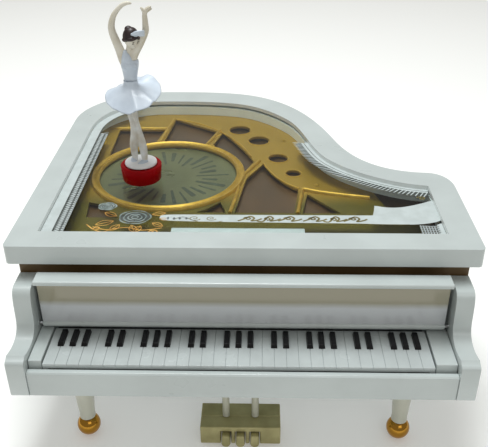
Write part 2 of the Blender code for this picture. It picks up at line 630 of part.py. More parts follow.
def make_comb():
    """Steel comb with its two screws; returns the bedplate's block that carries it."""
    comb_z = CYLINDER_Z
    reach = DISC_Y - CYLINDER_R - 0.6
    teeth = 18
    low_x, high_x = DISC_X + 19.0, DISC_X + 38.5
    pitch = (high_x - low_x) / teeth
    outline = [(low_x - 1, DISC_Y - 22), (high_x + 1, DISC_Y - 22)]
    for i in reversed(range(teeth)):
        x = low_x + (i + 0.5) * pitch
        root_y = DISC_Y - 13.5 + 2.2 * i / teeth
        outline += [(x + 0.36, root_y), (x + 0.36, reach), (x - 0.36, reach), (x - 0.36, root_y)]
    holes = [circle(low_x + 4, DISC_Y - 18, 1.3, 8), circle(high_x - 4, DISC_Y - 18, 1.3, 8)]
    prism("comb", [outline] + holes, comb_z - 0.4, comb_z + 0.4, STEEL)
    block = rectangle(low_x - 1, DISC_Y - 22, high_x + 1, DISC_Y - 14.5)
    support = prism("comb_support", [block] + holes, BEDPLATE_Z + 1.0, comb_z - 0.4 - GAP, BRASS, cutter=True)
    screw = [(0, comb_z + 2.2), (2.2, comb_z + 1.9), (2.2, comb_z + 0.4 + GAP), (1.0, comb_z + 0.4 + GAP),
             (1.0, comb_z - 6), (0, comb_z - 6)]
    for number, x in enumerate((low_x + 4, high_x - 4), 1):
        turned(f"comb_screw_{number}", screw, (x, DISC_Y - 18, 0), STEEL, 10)
    return [support]


def make_governor(bed_top):
    """Upright worm with an air brake, in its bracket beside the cylinder's wheel."""
    x, y = DISC_X + WORM_X, DISC_Y + WORM_Y
    low, high = bed_top + GAP, 62.0
    worm = turned("governor_worm", [(0, high - 2.2), (0.7, high - 2.2), (0.7, 58.0), (1.5, 57.5), (1.5, 50.0),
                                    (0.7, 49.5), (0.7, low + 2.4), (0, low + 2.4)], (x, y, 0), STEEL, 12)
    fan = prism("fan", [rectangle(x - 4.0, 41.0, x + 4.0, 47.0)], y - 0.3, y + 0.3, STEEL, axes="xzy",
                cutter=True)
    combine(worm, [fan], "UNION")
    outline = [(x + 6.6, low), (x + 6.6, high), (x - 1.6, high), (x - 1.6, high - 1.8), (x + 5.2, high - 1.8),
               (x + 5.2, low + 1.8), (x - 3.0, low + 1.8), (x - 3.0, low)]
    prism("governor_bracket", [outline], y - 2.5, y + 2.5, BRASS, axes="xzy")


# ---- figure ------------------------------------------------------------------------------

def make_figure():
    x, y = DOLL_X, DOLL_Y
    low = GLASS_TOP + GAP
    high = GLASS_TOP + BASE_H
    profile = [(0, high), (BASE_R - 0.4, high), (BASE_R, high - 0.4), (BASE_R - 0.9, low),
               (6.0, low), (6.0, low + 4.0), (0, low + 4.0)]
    turned("figure_base", profile, (x, y, 0), RED, 32)
    turned("base_magnet", [(0, low + 3.6), (5.6, low + 3.6), (5.6, low), (0, low)],
           (x, y, 0), MAGNET, 20)
    turned("foot_disc", [(0, high + 1.4), (6.9, high + 1.4), (7.4, high + 1.0), (7.4, high + GAP),
                         (0, high + GAP)], (x, y, 0), WHITE, 24)

    shape = bmesh.new()
    tube(shape, [(x + 1.6, y - 1.0, 91.6), (x + 1.2, y - 0.8, 96.0), (x + 0.4, y - 0.2, 101.5),
                 (x - 0.6, y + 0.2, 108.0), (x - 1.0, y + 0.4, 116.0), (x - 0.9, y + 0.3, 121.0)],
         [1.3, 1.9, 2.0, 1.9, 2.5, 2.9], 10)
    legs = finish("figure_legs", shape, SKIN, smooth_deg=50)
    shape = bmesh.new()
    tube(shape, [(x - 2.6, y + 1.0, 91.6), (x - 2.9, y + 0.9, 95.5), (x - 1.4, y + 0.2, 100.5),
                 (x + 0.5, y - 0.1, 107.0), (x + 1.0, y, 115.0), (x + 0.7, y + 0.2, 120.0)],
         [1.2, 1.8, 1.8, 1.9, 2.4, 2.4], 10)
    other = finish("second_leg", shape, SKIN, cutter=True)
    combine(legs, [other], "UNION")

    shape = bmesh.new()
    steps = 32
    rings = []
    for radius, height, wave in ((3.7, 128.6, 0), (7.5, 126.4, 0.2), (13.4, 121.8, 0.9), (13.4, 121.0, 0.9),
                                 (7.5, 125.2, 0.2), (3.7, 126.8, 0)):
        ring = []
        for i in range(steps):
            angle = 2 * math.pi * i / steps
            tilt = TUTU_TILT[0] * math.cos(angle) + TUTU_TILT[1] * math.sin(angle)
            lift = wave * math.sin(3 * angle + 0.6) + radius * tilt
            ring.append(shape.verts.new((x - 0.9 + radius * math.cos(angle),
                                         y + radius * math.sin(angle), height + lift)))
        rings.append(ring)
    for first, second in zip(rings, rings[1:] + rings[:1]):
        for i in range(steps):
            j = (i + 1) % steps
            shape.faces.new((first[i], first[j], second[j], second[i]))
    finish("tutu", shape, FABRIC_WHITE, smooth_deg=50)

    shape = bmesh.new()
    tube(shape, [(x - 1.3, y, 121.5), (x - 1.3, y, 127.0), (x - 1.2, y, 132.5), (x - 1.4, y, 137.5),
                 (x - 1.3, y, 141.5), (x - 1.0, y, 143.6)], [3.0, 3.2, 3.1, 3.5, 3.6, 1.6], 12)
    body = finish("figure_body", shape, FABRIC_WHITE, smooth_deg=50)
    shape = bmesh.new()
    tube(shape, [(x - 2.6, y, 139.5), (x - 5.0, y, 143.5), (x - 8.4, y, 151.5), (x - 6.9, y, 156.5),
                 (x - 3.2, y, 161.0), (x + 0.6, y, 163.2)], [1.7, 1.5, 1.35, 1.1, 0.9, 0.6], 8)
    left = finish("left_arm", shape, SKIN, cutter=True)
    shape = bmesh.new()
    tube(shape, [(x + 0.4, y, 139.5), (x + 2.4, y, 142.5), (x + 6.6, y, 151.0), (x + 7.0, y, 156.5),
                 (x + 7.4, y, 159.6), (x + 9.4, y, 161.4)], [1.6, 1.5, 1.3, 1.1, 0.9, 0.6], 8)
    right = finish("right_arm", shape, SKIN, cutter=True)
    combine(body, [left, right], "UNION")

    profile = [(3.5 * math.sin(math.radians(a)), 4.1 * math.cos(math.radians(a))) for a in range(0, 181, 20)]
    profile[0], profile[-1] = (0, 4.1), (0, -3.8)
    turned("figure_head", profile, (x - 0.4, y, 148.1), SKIN, 16)


def main():
    for old in list(bpy.data.objects):
        bpy.data.objects.remove(old, do_unlink=True)
    make_case()
    make_lid()
    make_keyboard()
    make_fallboard()
    make_legs()
    make_lyre()
    make_decor()
    make_movement()
    make_figure()


main()
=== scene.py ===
"""Looks of the piano-shaped musical automaton: detailed pieces and materials over the CAD frame."""
import math

import bmesh
import bpy
from mathutils import Euler, Matrix, Vector
from mathutils.geometry import tessellate_polygon


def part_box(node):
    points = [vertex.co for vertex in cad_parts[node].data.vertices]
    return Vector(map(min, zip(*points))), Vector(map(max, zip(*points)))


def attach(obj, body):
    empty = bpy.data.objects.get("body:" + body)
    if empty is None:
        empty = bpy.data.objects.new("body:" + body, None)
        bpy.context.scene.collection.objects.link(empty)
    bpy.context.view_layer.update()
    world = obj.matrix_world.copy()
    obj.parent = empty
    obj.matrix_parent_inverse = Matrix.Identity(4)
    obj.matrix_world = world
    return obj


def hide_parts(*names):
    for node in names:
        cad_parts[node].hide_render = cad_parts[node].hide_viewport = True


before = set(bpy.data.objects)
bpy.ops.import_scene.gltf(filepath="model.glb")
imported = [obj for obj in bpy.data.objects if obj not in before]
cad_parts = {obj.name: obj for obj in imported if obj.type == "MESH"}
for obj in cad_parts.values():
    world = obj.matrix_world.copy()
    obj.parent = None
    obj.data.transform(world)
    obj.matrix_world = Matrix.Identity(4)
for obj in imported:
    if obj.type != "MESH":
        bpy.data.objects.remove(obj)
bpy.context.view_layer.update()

# ---- sizes in millimetres, read from the frame ------------------------------------------
MM = 0.001
GAP = 0.3       # clearance between pieces


def span(node):
    """Lowest and highest corner of a CAD node, in millimetres."""
    low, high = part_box(node)
    return Vector(low) / MM, Vector(high) / MM


LID_LOW, LID_HIGH = span("lid_frame")
FRONT_Y = LID_LOW.y
LID_HALF_W = LID_HIGH.x
LID_D = LID_HIGH.y - LID_LOW.y
LID_BOTTOM, LID_TOP = LID_LOW.z, LID_HIGH.z
CASE_LOW, CASE_HIGH = span("case_shell")
GLASS_LOW, GLASS_HIGH = span("glass_pane")
PLATE_LOW, PLATE_HIGH = span("gold_plate")
BASE_LOW, BASE_HIGH = span("figure_base")
DISC_LOW, DISC_HIGH = span("sunburst_disc")
DISC_X = (DISC_LOW.x + DISC_HIGH.x) / 2
DISC_Y = (DISC_LOW.y + DISC_HIGH.y) / 2
RING_OUT, RING_IN = 37.4, 34.2
DOLL_X = (BASE_LOW.x + BASE_HIGH.x) / 2
DOLL_Y = (BASE_LOW.y + BASE_HIGH.y) / 2
RIM_LIP = LID_TOP - GLASS_HIGH.z - 0.03    # thickness of the rim's lip over the glass

# ---- camera ------------------------------------------------------------------------------
CAMERA_AT = (0.00666, -0.31027, 0.23466)
CAMERA_PITCH_DEG = 30.42
CAMERA_YAW_DEG = 1.44
CAMERA_ROLL_DEG = -0.37
CAMERA_LENS = 53.0


def make_camera():
    data = bpy.data.cameras.new("camera")
    data.lens = CAMERA_LENS
    data.sensor_width = 36.0
    data.clip_start = 0.01
    camera = bpy.data.objects.new("camera", data)
    turn = Matrix.Rotation(math.radians(CAMERA_YAW_DEG), 4, "Z")
    turn = turn @ Matrix.Rotation(math.radians(90 - CAMERA_PITCH_DEG), 4, "X")
    turn = turn @ Matrix.Rotation(math.radians(CAMERA_ROLL_DEG), 4, "Z")
    camera.matrix_world = Matrix.Translation(CAMERA_AT) @ turn
    bpy.context.scene.collection.objects.link(camera)
    bpy.context.scene.camera = camera


FLOOR_SIZE, FLOOR_Z = 20, -0.0002     # metres; the floor is a little below the feet


def make_light(name, place, target, size, power, colour=(1, 1, 1)):
    data = bpy.data.lights.new(name, "AREA")
    data.shape = "RECTANGLE"
    data.size, data.size_y = size
    data.energy = power
    data.color = colour
    lamp = bpy.data.objects.new(name, data)
    lamp.location = place
    lamp.visible_transmission = False
    lamp.rotation_euler = (Vector(target) - Vector(place)).to_track_quat("-Z", "Y").to_euler()
    bpy.context.scene.collection.objects.link(lamp)


def make_stage():
    """Pale floor, even white surroundings and soft boxes above and in front."""
    scene = bpy.context.scene
    scene.view_settings.view_transform = "Standard"
    world = bpy.data.worlds.new("studio")
    world.use_nodes = True
    world.node_tree.nodes["Background"].inputs["Color"].default_value = (1.0, 0.985, 0.93, 1)
    world.node_tree.nodes["Background"].inputs["Strength"].default_value = 0.38
    scene.world = world
    make_light("top_box", (-0.08, 0.1, 0.9), (0, 0.02, 0.05), (0.4, 0.4), 6.6, (0.95, 0.99, 1.0))
    make_light("front_box", (0.3, -0.9, 0.75), (0, -0.02, 0.08), (0.6, 0.4), 1.0)
    bpy.ops.mesh.primitive_plane_add(size=FLOOR_SIZE, location=(0, 0, FLOOR_Z))
    floor = bpy.context.object
    floor.name = "floor"
    skin = bpy.data.materials.new("floor_white")
    skin.use_nodes = True
    shader = skin.node_tree.nodes["Principled BSDF"]
    shader.inputs["Base Color"].default_value = (0.85, 0.85, 0.83, 1)
    shader.inputs["Roughness"].default_value = 0.8
    shader.inputs["Emission Color"].default_value = (1, 1, 1, 1)
    shader.inputs["Emission Strength"].default_value = 0.2
    floor.data.materials.append(skin)


# ---- materials ---------------------------------------------------------------------------

def shader_material(name, colour, roughness, metallic=0.0, coat=0.0, **more):
    made = bpy.data.materials.new(name)
    made.use_nodes = True
    shader = made.node_tree.nodes["Principled BSDF"]
    shader.inputs["Base Color"].default_value = (*colour, 1)
    shader.inputs["Roughness"].default_value = roughness
    shader.inputs["Metallic"].default_value = metallic
    shader.inputs["Coat Weight"].default_value = coat
    shader.inputs["Coat Roughness"].default_value = 0.08
    for socket, value in more.items():
        shader.inputs[socket.replace("_", " ")].default_value = value
    return made


def new_node(tree, kind, links=(), **values):
    """Add a shader node; links pair an output with an input name or number, values set its inputs."""
    node = tree.nodes.new("ShaderNode" + kind)
    for socket, value in values.items():
        node.inputs[socket.replace("_", " ")].default_value = value
    for output, socket in links:
        tree.links.new(output, node.inputs[socket])
    return node


def add_noise(made, scale, detail=3.0, bump=0.0, bump_distance=0.0001, dark=None, light=None,
              rough=None, low=0.35, high=0.65, stretch=(1, 1, 1)):
    """Noise in object space that drives bump, a colour mix and a roughness range."""
    tree = made.node_tree
    shader = tree.nodes["Principled BSDF"]
    place = new_node(tree, "TexCoord")
    scaled = new_node(tree, "Mapping", [(place.outputs["Object"], "Vector")], Scale=stretch)
    grain = new_node(tree, "TexNoise", [(scaled.outputs["Vector"], "Vector")], Scale=scale, Detail=detail)
    fac = grain.outputs["Fac"]
    if bump:
        raised = new_node(tree, "Bump", [(fac, "Height")], Strength=bump, Distance=bump_distance)
        tree.links.new(raised.outputs["Normal"], shader.inputs["Normal"])
    if dark and light:
        ramp = new_node(tree, "ValToRGB", [(fac, "Fac")])
        ramp.color_ramp.elements[0].position = low
        ramp.color_ramp.elements[0].color = (*dark, 1)
        ramp.color_ramp.elements[1].position = high
        ramp.color_ramp.elements[1].color = (*light, 1)
        tree.links.new(ramp.outputs["Color"], shader.inputs["Base Color"])
    if rough:
        spread = new_node(tree, "MapRange", [(fac, "Value")], To_Min=rough[0], To_Max=rough[1])
        tree.links.new(spread.outputs["Result"], shader.inputs["Roughness"])
    return made


MOTTLE_REACH = 0.3      # how far the mottle shifts a fade, as a share of its length


def add_fade(made, axis, span_mm, colours, mottle):
    """Base colour that changes between two colours along an axis, broken up by a faint mottle."""
    tree = made.node_tree
    place = new_node(tree, "TexCoord").outputs["Object"]
    parts = new_node(tree, "SeparateXYZ", [(place, "Vector")])
    cloud = new_node(tree, "TexNoise", [(place, "Vector")], Scale=mottle, Detail=3)
    start, end = (edge * MM for edge in span_mm)
    shift = new_node(tree, "Math", [(cloud.outputs["Fac"], 0), (parts.outputs[axis], 2)])
    shift.operation = "MULTIPLY_ADD"
    shift.inputs[1].default_value = (span_mm[1] - span_mm[0]) * MM * MOTTLE_REACH
    share = new_node(tree, "MapRange", [(shift.outputs["Value"], "Value")], From_Min=start, From_Max=end)
    ramp = new_node(tree, "ValToRGB", [(share.outputs["Result"], "Fac")])
    for stop, colour in zip(ramp.color_ramp.elements, colours):
        stop.color = (*colour, 1)
    tree.links.new(ramp.outputs["Color"], tree.nodes["Principled BSDF"].inputs["Base Color"])
    return made


def skin_material(name, colour, roughness, scale, settings):
    """A material whose surface, colour or roughness is broken up by noise."""
    shader = {key: settings[key] for key in ("metallic", "coat") if key in settings}
    grain = {key: value for key, value in settings.items() if key not in ("metallic", "coat", "specular")}
    if "specular" in settings:
        shader["Specular_IOR_Level"] = settings["specular"]
    return add_noise(shader_material(name, colour, roughness, **shader), scale, **grain)


# short name: material name, colour, roughness, noise scale, other settings
SKINS = {
    "white": ("white_plastic", (0.50, 0.545, 0.54), 0.3, 55, dict(coat=0.35, bump=0.03,
        dark=(0.48, 0.525, 0.518), light=(0.515, 0.563, 0.556), rough=(0.24, 0.36))),
    # lighter copy of the white plastic: painted light on the window's inner wall and the glass seat, which
    # lie in shade
    "wall": ("white_plastic_wall_painted_light", (0.76, 0.80, 0.79), 0.35, 55, dict(coat=0.2, bump=0.03,
        dark=(0.73, 0.77, 0.76), light=(0.78, 0.82, 0.81), rough=(0.3, 0.42))),
    "keys": ("key_white", (0.57, 0.61, 0.60), 0.25, 90, dict(coat=0.3, bump=0.02, dark=(0.46, 0.50, 0.50),
        light=(0.51, 0.555, 0.555), rough=(0.2, 0.32))),
    # fallboard panel: darkened white plastic whose colour is painted shade and painted reflection, set by the
    # fade in make_materials
    "panel": ("fallboard_painted_shade_and_reflection", (0.40, 0.40, 0.36), 0.12, 40, dict(coat=0.6, bump=0.01,
        rough=(0.08, 0.16))),
    "black": ("key_black", (0.004, 0.004, 0.005), 0.3, 150, dict(specular=0.25, bump=0.03,
        rough=(0.22, 0.4))),
    "gold": ("gilt_plastic", (0.48, 0.32, 0.085), 0.33, 900, dict(metallic=0.5, bump=0.10,
        rough=(0.28, 0.42))),
    "bright": ("gilt_plastic_bright", (0.62, 0.41, 0.12), 0.26, 300, dict(metallic=0.6, detail=2,
        dark=(0.47, 0.27, 0.03), light=(0.56, 0.335, 0.045), rough=(0.30, 0.38))),
    "khaki": ("gilt_plastic_dull", (0.20, 0.165, 0.05), 0.4, 200, dict(metallic=0.4, detail=4, bump=0.08,
        dark=(0.165, 0.135, 0.04), light=(0.23, 0.19, 0.06), rough=(0.32, 0.48))),
    "foot": ("gilt_foot", (0.42, 0.21, 0.03), 0.12, 60, dict(metallic=1.0, bump=0.02, rough=(0.08, 0.2))),
    "lyre": ("lyre_gilt", (0.36, 0.32, 0.15), 0.38, 120, dict(metallic=0.4, detail=4, bump=0.06,
        dark=(0.30, 0.27, 0.12), light=(0.41, 0.37, 0.18), rough=(0.3, 0.44))),
    # legs and lyre posts: the white plastic made darker and khaki, painted shade for their place under the
    # case
    "leg": ("leg_white_painted_shade", (0.50, 0.50, 0.42), 0.3, 60, dict(coat=0.3, bump=0.03, dark=(0.47, 0.47, 0.39),
        light=(0.53, 0.53, 0.45), rough=(0.24, 0.36))),
    # painted shade: a brown that stands in for the shadowed gap under the lid, on the case's front wall
    "recess": ("lid_gap_painted_shade", (0.12, 0.07, 0.025), 0.5, 60, dict(dark=(0.10, 0.058, 0.02),
        light=(0.14, 0.082, 0.03), rough=(0.4, 0.6))),
    "board": ("soundboard", (0.06, 0.035, 0.022), 0.3, 26, dict(coat=0.25, detail=4,
        dark=(0.034, 0.020, 0.008), light=(0.115, 0.055, 0.019), rough=(0.22, 0.4),
        stretch=(1, 0.25, 1))),
    "disc": ("disc_print", (0.12, 0.12, 0.055), 0.28, 45, dict(metallic=0.2, detail=4,
        dark=(0.095, 0.098, 0.045), light=(0.14, 0.142, 0.068), rough=(0.22, 0.36))),
    "ink": ("disc_ink", (0.055, 0.07, 0.045), 0.4, 300, dict(dark=(0.025, 0.033, 0.02),
        light=(0.055, 0.068, 0.042))),
    "rose": ("print_rose", (0.30, 0.36, 0.34), 0.4, 260, dict(dark=(0.15, 0.20, 0.19),
        light=(0.34, 0.40, 0.38))),
    "orange": ("print_gold", (0.62, 0.28, 0.05), 0.35, 260, dict(metallic=0.2, dark=(0.48, 0.24, 0.045),
        light=(0.90, 0.52, 0.13))),
    "print": ("print_white", (0.50, 0.55, 0.55), 0.45, 200, dict(dark=(0.47, 0.52, 0.515),
        light=(0.53, 0.585, 0.585))),
    "line": ("print_dark", (0.045, 0.055, 0.05), 0.5, 200, dict(dark=(0.03, 0.04, 0.035),
        light=(0.08, 0.09, 0.085))),
    "brass": ("brass", (0.62, 0.43, 0.16), 0.3, 180, dict(metallic=1.0, detail=4, bump=0.05,
        rough=(0.22, 0.4), dark=(0.52, 0.35, 0.12), light=(0.68, 0.49, 0.20))),
    "steel": ("steel", (0.56, 0.57, 0.58), 0.3, 220, dict(metallic=1.0, bump=0.05, rough=(0.22, 0.4),
        stretch=(1, 8, 1))),
    "magnet": ("magnet_grey", (0.13, 0.13, 0.14), 0.4, 260, dict(metallic=0.7, bump=0.08,
        rough=(0.3, 0.5))),
    "red": ("red_plastic", (0.34, 0.001, 0.003), 0.3, 90, dict(specular=0.08, bump=0.04,
        dark=(0.29, 0.001, 0.003), light=(0.37, 0.002, 0.005), rough=(0.18, 0.34))),
    "skin": ("figure_skin", (0.70, 0.65, 0.55), 0.38, 150, dict(coat=0.2, bump=0.06,
        dark=(0.62, 0.57, 0.46), light=(0.74, 0.70, 0.61), rough=(0.3, 0.46))),
    "tights": ("figure_tights", (0.60, 0.62, 0.60), 0.35, 150, dict(coat=0.3, bump=0.08,
        dark=(0.66, 0.62, 0.54), light=(0.88, 0.91, 0.93), rough=(0.26, 0.42))),
    # foot disc: white made lighter, painted light against the shade of the tutu
    "plate_lit_white": ("figure_plate_painted_light", (0.88, 0.89, 0.90), 0.3, 120, dict(coat=0.4, bump=0.03,
        dark=(0.84, 0.84, 0.86), light=(0.91, 0.92, 0.93), rough=(0.24, 0.36))),
    "dress": ("figure_dress", (0.60, 0.67, 0.76), 0.35, 130, dict(coat=0.25, bump=0.10,
        bump_distance=0.0002, dark=(0.55, 0.62, 0.71), light=(0.64, 0.71, 0.80), rough=(0.28, 0.42))),
    "hair": ("figure_hair", (0.018, 0.008, 0.009), 0.42, 220, dict(coat=0.1, bump=0.25,
        bump_distance=0.0003, dark=(0.010, 0.004, 0.005), light=(0.035, 0.014, 0.014), rough=(0.34, 0.5),
        stretch=(3, 3, 0.6))),
    "lips": ("figure_lips", (0.30, 0.05, 0.04), 0.35, 400, dict(dark=(0.25, 0.04, 0.03),
        light=(0.36, 0.07, 0.05))),
}


def make_materials():
    made = {key: skin_material(*row) for key, row in SKINS.items()}
    # Fallboard panel: a khaki painted shade on its upper part under the lip, and a lighter painted reflection
    # of the white keys on its lower part.
    add_fade(made["panel"], "Z", (59.0, 62.0), ((0.54, 0.56, 0.58), (0.31, 0.285, 0.20)), 40)
    dark_gold, light_gold = (0.135, 0.108, 0.012), (0.39, 0.23, 0.022)
    add_fade(made["gold"], "Y", (FRONT_Y + 52, FRONT_Y + 68), (dark_gold, light_gold), 60)
    glass = shader_material("pane_glass", (0.93, 0.97, 0.96), 0.02, Transmission_Weight=1.0, IOR=1.16)
    made["glass"] = let_lamps_through(add_noise(glass, 30, rough=(0.0, 0.03)))
    return made


def let_lamps_through(made):
    """Let rays from the lamps pass the glass straight, so that they light what is behind it."""
    tree = made.node_tree
    rays = tree.nodes.new("ShaderNodeLightPath")
    open_air = tree.nodes.new("ShaderNodeBsdfTransparent")
    open_air.inputs["Color"].default_value = (0.80, 0.83, 0.82, 1)
    mix = tree.nodes.new("ShaderNodeMixShader")
    tree.links.new(rays.outputs["Is Shadow Ray"], mix.inputs[0])
    tree.links.new(tree.nodes["Principled BSDF"].outputs["BSDF"], mix.inputs[1])
    tree.links.new(open_air.outputs["BSDF"], mix.inputs[2])
    tree.links.new(mix.outputs["Shader"], tree.nodes["Material Output"].inputs["Surface"])
    return made


# ---- outlines, in millimetres ------------------------------------------------------------

def bezier(start, handle_a, handle_b, end, steps):
    """Points of a cubic curve, without its last one."""
    points = []
    for i in range(steps):
        t = i / steps
        s = 1.0 - t
        weights = (s * s * s, 3 * s * s * t, 3 * s * t * t, t * t * t)
        corners = (start, handle_a, handle_b, end)
        points.append(tuple(sum(w * c[k] for w, c in zip(weights, corners)) for k in (0, 1)))
    return points


def arc(cx, cy, radius, start_deg, end_deg, steps):
    points = []
    for i in range(steps + 1):
        angle = math.radians(start_deg + (end_deg - start_deg) * i / steps)
        points.append((cx + radius * math.cos(angle), cy + radius * math.sin(angle)))
    return points


def circle(cx, cy, radius, steps):
    return arc(cx, cy, radius, 0, 360, steps)[:-1]


def rectangle(x0, y0, x1, y1):
    return [(x0, y0), (x1, y0), (x1, y1), (x0, y1)]


def offset(points, inwards):
    """A counter-clockwise outline moved inwards, mitred at its corners."""
    moved = []
    count = len(points)
    for i, here in enumerate(points):
        before = Vector(here) - Vector(points[i - 1])
        after = Vector(points[(i + 1) % count]) - Vector(here)
        normal_a = Vector((-before.y, before.x)).normalized()
        normal_b = Vector((-after.y, after.x)).normalized()
        mitre = (normal_a + normal_b).normalized()
        length = inwards / max(0.5, mitre.dot(normal_a))
        moved.append((here[0] + mitre.x * length, here[1] + mitre.y * length))
    return moved


def beside(path):
    """Each point of a path, with the unit vector to its left."""
    last = len(path) - 1
    for i, point in enumerate(path):
        ahead = Vector(path[min(i + 1, last)]) - Vector(path[max(i - 1, 0)])
        yield point, Vector((-ahead.y, ahead.x)).normalized()


def lid_outline(rounded=True, steps=26):
    """Grand-piano plan of the lid, counter-clockwise from the front left."""
    half = LID_HALF_W
    y = FRONT_Y
    points = [(-half, y), (half, y)]
    if rounded:
        points = arc(-half + 2, y + 2, 2, 180, 270, 6) + arc(half - 2, y + 2, 2, 270, 360, 6)
    points += bezier((half, y + 53), (half, y + 61), (91, y + 67.3), (84, y + 67.3), 12)
    points += bezier((84, y + 67.3), (60, y + 69), (50, y + 86), (44.5, y + 106), steps)
    points += bezier((44.5, y + 106), (36, y + 136), (22, y + 168), (-12, y + 173), steps)
    points += bezier((-12, y + 173), (-24, y + LID_D), (-36, y + LID_D), (-48, y + LID_D), 10)
    points += bezier((-48, y + LID_D), (-66, y + LID_D), (-half, y + 160), (-half, y + 131), steps)
    points.append((-half, y + 131))
    return points


def window_outline(steps=20):
    """Opening of the rim, counter-clockwise from the front left."""
    y = FRONT_Y
    points = [(-84, y + 12), (83, y + 12), (83, y + 54)]
    points += bezier((83, y + 54), (66, y + 56), (46, y + 70), (38, y + 84.8), steps)[1:]
    points += bezier((38, y + 84.8), (31, y + 99), (30, y + 118), (22.2, y + 131.1), steps)
    points += bezier((22.2, y + 131.1), (14, y + 144), (3, y + 154), (-9.2, y + 156.4), 12)
    points += bezier((-9.2, y + 156.4), (-22, y + 159.5), (-36, y + 159.5), (-50.4, y + 159.2), 12)
    points += bezier((-50.4, y + 159.2), (-66, y + 158.5), (-84, y + 144), (-84, y + 119), steps)
    points.append((-84, y + 119))
    return points


# ---- mesh helpers ------------------------------------------------------------------------

def place(name, shape, skin, body, stands_for=(), smooth_deg=40, bevel=0.0, segments=3):
    """Link a bmesh in millimetres as a piece that rides on a body."""
    bmesh.ops.recalc_face_normals(shape, faces=shape.faces)
    if shape.calc_volume(signed=True) < 0:
        bmesh.ops.reverse_faces(shape, faces=shape.faces)
    bmesh.ops.scale(shape, verts=shape.verts, vec=(MM, MM, MM))
    mesh = bpy.data.meshes.new(name)
    shape.to_mesh(mesh)
    shape.free()
    mesh.materials.append(MATERIALS[skin])
    mesh.shade_smooth()
    if smooth_deg:
        mesh.set_sharp_from_angle(angle=math.radians(smooth_deg))
    piece = bpy.data.objects.new(name, mesh)
    bpy.context.scene.collection.objects.link(piece)
    if bevel:
        soften(piece, bevel, segments)
    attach(piece, body)
    if stands_for:
        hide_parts(*stands_for)
    return piece


SHARP_DEG = 38      # edges sharper than this are rounded


def soften(piece, width, segments=3):
    """Round the sharp edges of a piece."""
    edge = piece.modifiers.new("edge", "BEVEL")
    edge.width = width * MM
    edge.segments = segments
    edge.limit_method = "ANGLE"
    edge.angle_limit = math.radians(SHARP_DEG)
    edge.harden_normals = True


def join_rings(shape, rings):
    """Add the faces between each ring of points and the next."""
    for first, second in zip(rings, rings[1:]):
        for i in range(len(first)):
            j = (i + 1) % len(first)
            shape.faces.new((first[i], first[j], second[j], second[i]))


def add_prism(target, loops, low, high, axes="xyz"):
    """Add an extruded outline with holes; axes says where its directions go."""
    order = [axes.index(letter) for letter in "xyz"]

    def at(u, v, w):
        return Vector([(u, v, w)[k] for k in order])

    levels = []
    for height in (low, high):
        levels.append([[target.verts.new(at(u, v, height)) for u, v in loop] for loop in loops])
    flat = [[vert for loop in level for vert in loop] for level in levels]
    if len(loops) == 1:
        cells = [list(range(len(loops[0])))]
    else:
        cells = tessellate_polygon([[Vector((u, v, 0)) for u, v in loop] for loop in loops])
    for side in flat:
        for cell in cells:
            target.faces.new([side[k] for k in cell])
    for bottom, top in zip(*levels):
        join_rings(target, [bottom, top])


def prism(name, loops, low, high, skin, body, axes="xyz", **extra):
    shape = bmesh.new()
    add_prism(shape, loops, low, high, axes)
    return place(name, shape, skin, body, **extra)


def add_turned(shape, profile, x, y, segments=48):
    """Add a solid of revolution about an upright axis, from axis to axis or closed on itself."""
    rings = []
    for radius, height in profile:
        count = 1 if radius == 0 else segments
        rings.append([shape.verts.new((x + radius * math.cos(2 * math.pi * i / segments),
                                       y + radius * math.sin(2 * math.pi * i / segments), height))
                      for i in range(count)])
    pairs = list(zip(rings, rings[1:]))
    if profile[0][0] != 0:
        pairs.append((rings[-1], rings[0]))
    for first, second in pairs:
        for i in range(segments):
            j = (i + 1) % segments
            corners = [first[i % len(first)], first[j % len(first)],
                       second[j % len(second)], second[i % len(second)]]
            shape.faces.new(list(dict.fromkeys(corners)))


def turned(name, profile, x, y, skin, body, segments=48, **extra):
    shape = bmesh.new()
    add_turned(shape, profile, x, y, segments)
    return place(name, shape, skin, body, **extra)


def spline_points(points, steps):
    """Catmull-Rom curve through the points; each may carry extra values such as a radius."""
    result = []
    padded = [points[0]] + list(points) + [points[-1]]
    for a, b, c, d in zip(padded, padded[1:], padded[2:], padded[3:]):
        for i in range(steps):
            t = i / steps
            result.append(tuple(
                0.5 * (2 * q + (r - p) * t + (2 * p - 5 * q + 4 * r - s) * t * t
                       + (3 * q - p - 3 * r + s) * t ** 3)
                for p, q, r, s in zip(a, b, c, d)))
    result.append(tuple(points[-1]))
    return result


def add_limb(shape, points, steps=6, sides=16, flat=1.0):
    """Add a round-ended tube through (x, y, z, radius) points."""
    path = spline_points(points, steps)
    spots = [Vector(p[:3]) for p in path]
    radii = [max(0.05, p[3]) for p in path]
    rings = []
    across = Vector((0, 1, 0))
    for i, spot in enumerate(spots):
        ahead = (spots[min(i + 1, len(spots) - 1)] - spots[max(i - 1, 0)]).normalized()
        side = ahead.cross(across).normalized()
        depth = side.cross(ahead).normalized()
        ring = []
        for k in range(sides):
            angle = 2 * math.pi * k / sides
            ring.append(shape.verts.new(spot + radii[i] * (math.cos(angle) * side
                                                           + flat * math.sin(angle) * depth)))
        rings.append(ring)
    join_rings(shape, rings)
    for ring, spot, toward in ((rings[0], spots[0], spots[0] - spots[1]),
                               (rings[-1], spots[-1], spots[-1] - spots[-2])):
        tip = shape.verts.new(spot + toward.normalized() * (ring[0].co - spot).length * 0.8)
        for k in range(sides):
            shape.faces.new((ring[k], ring[(k + 1) % sides], tip))


def add_ball(shape, centre, radii, turn=(0, 0, 0), segments=20):
    """Add an ellipsoid; turn is in degrees."""
    matrix = Matrix.Translation(centre) @ Euler([math.radians(a) for a in turn]).to_matrix().to_4x4()
    matrix = matrix @ Matrix.Diagonal((*radii, 1))
    bmesh.ops.create_uvsphere(shape, u_segments=segments, v_segments=segments // 2, radius=1.0,
                              matrix=matrix)


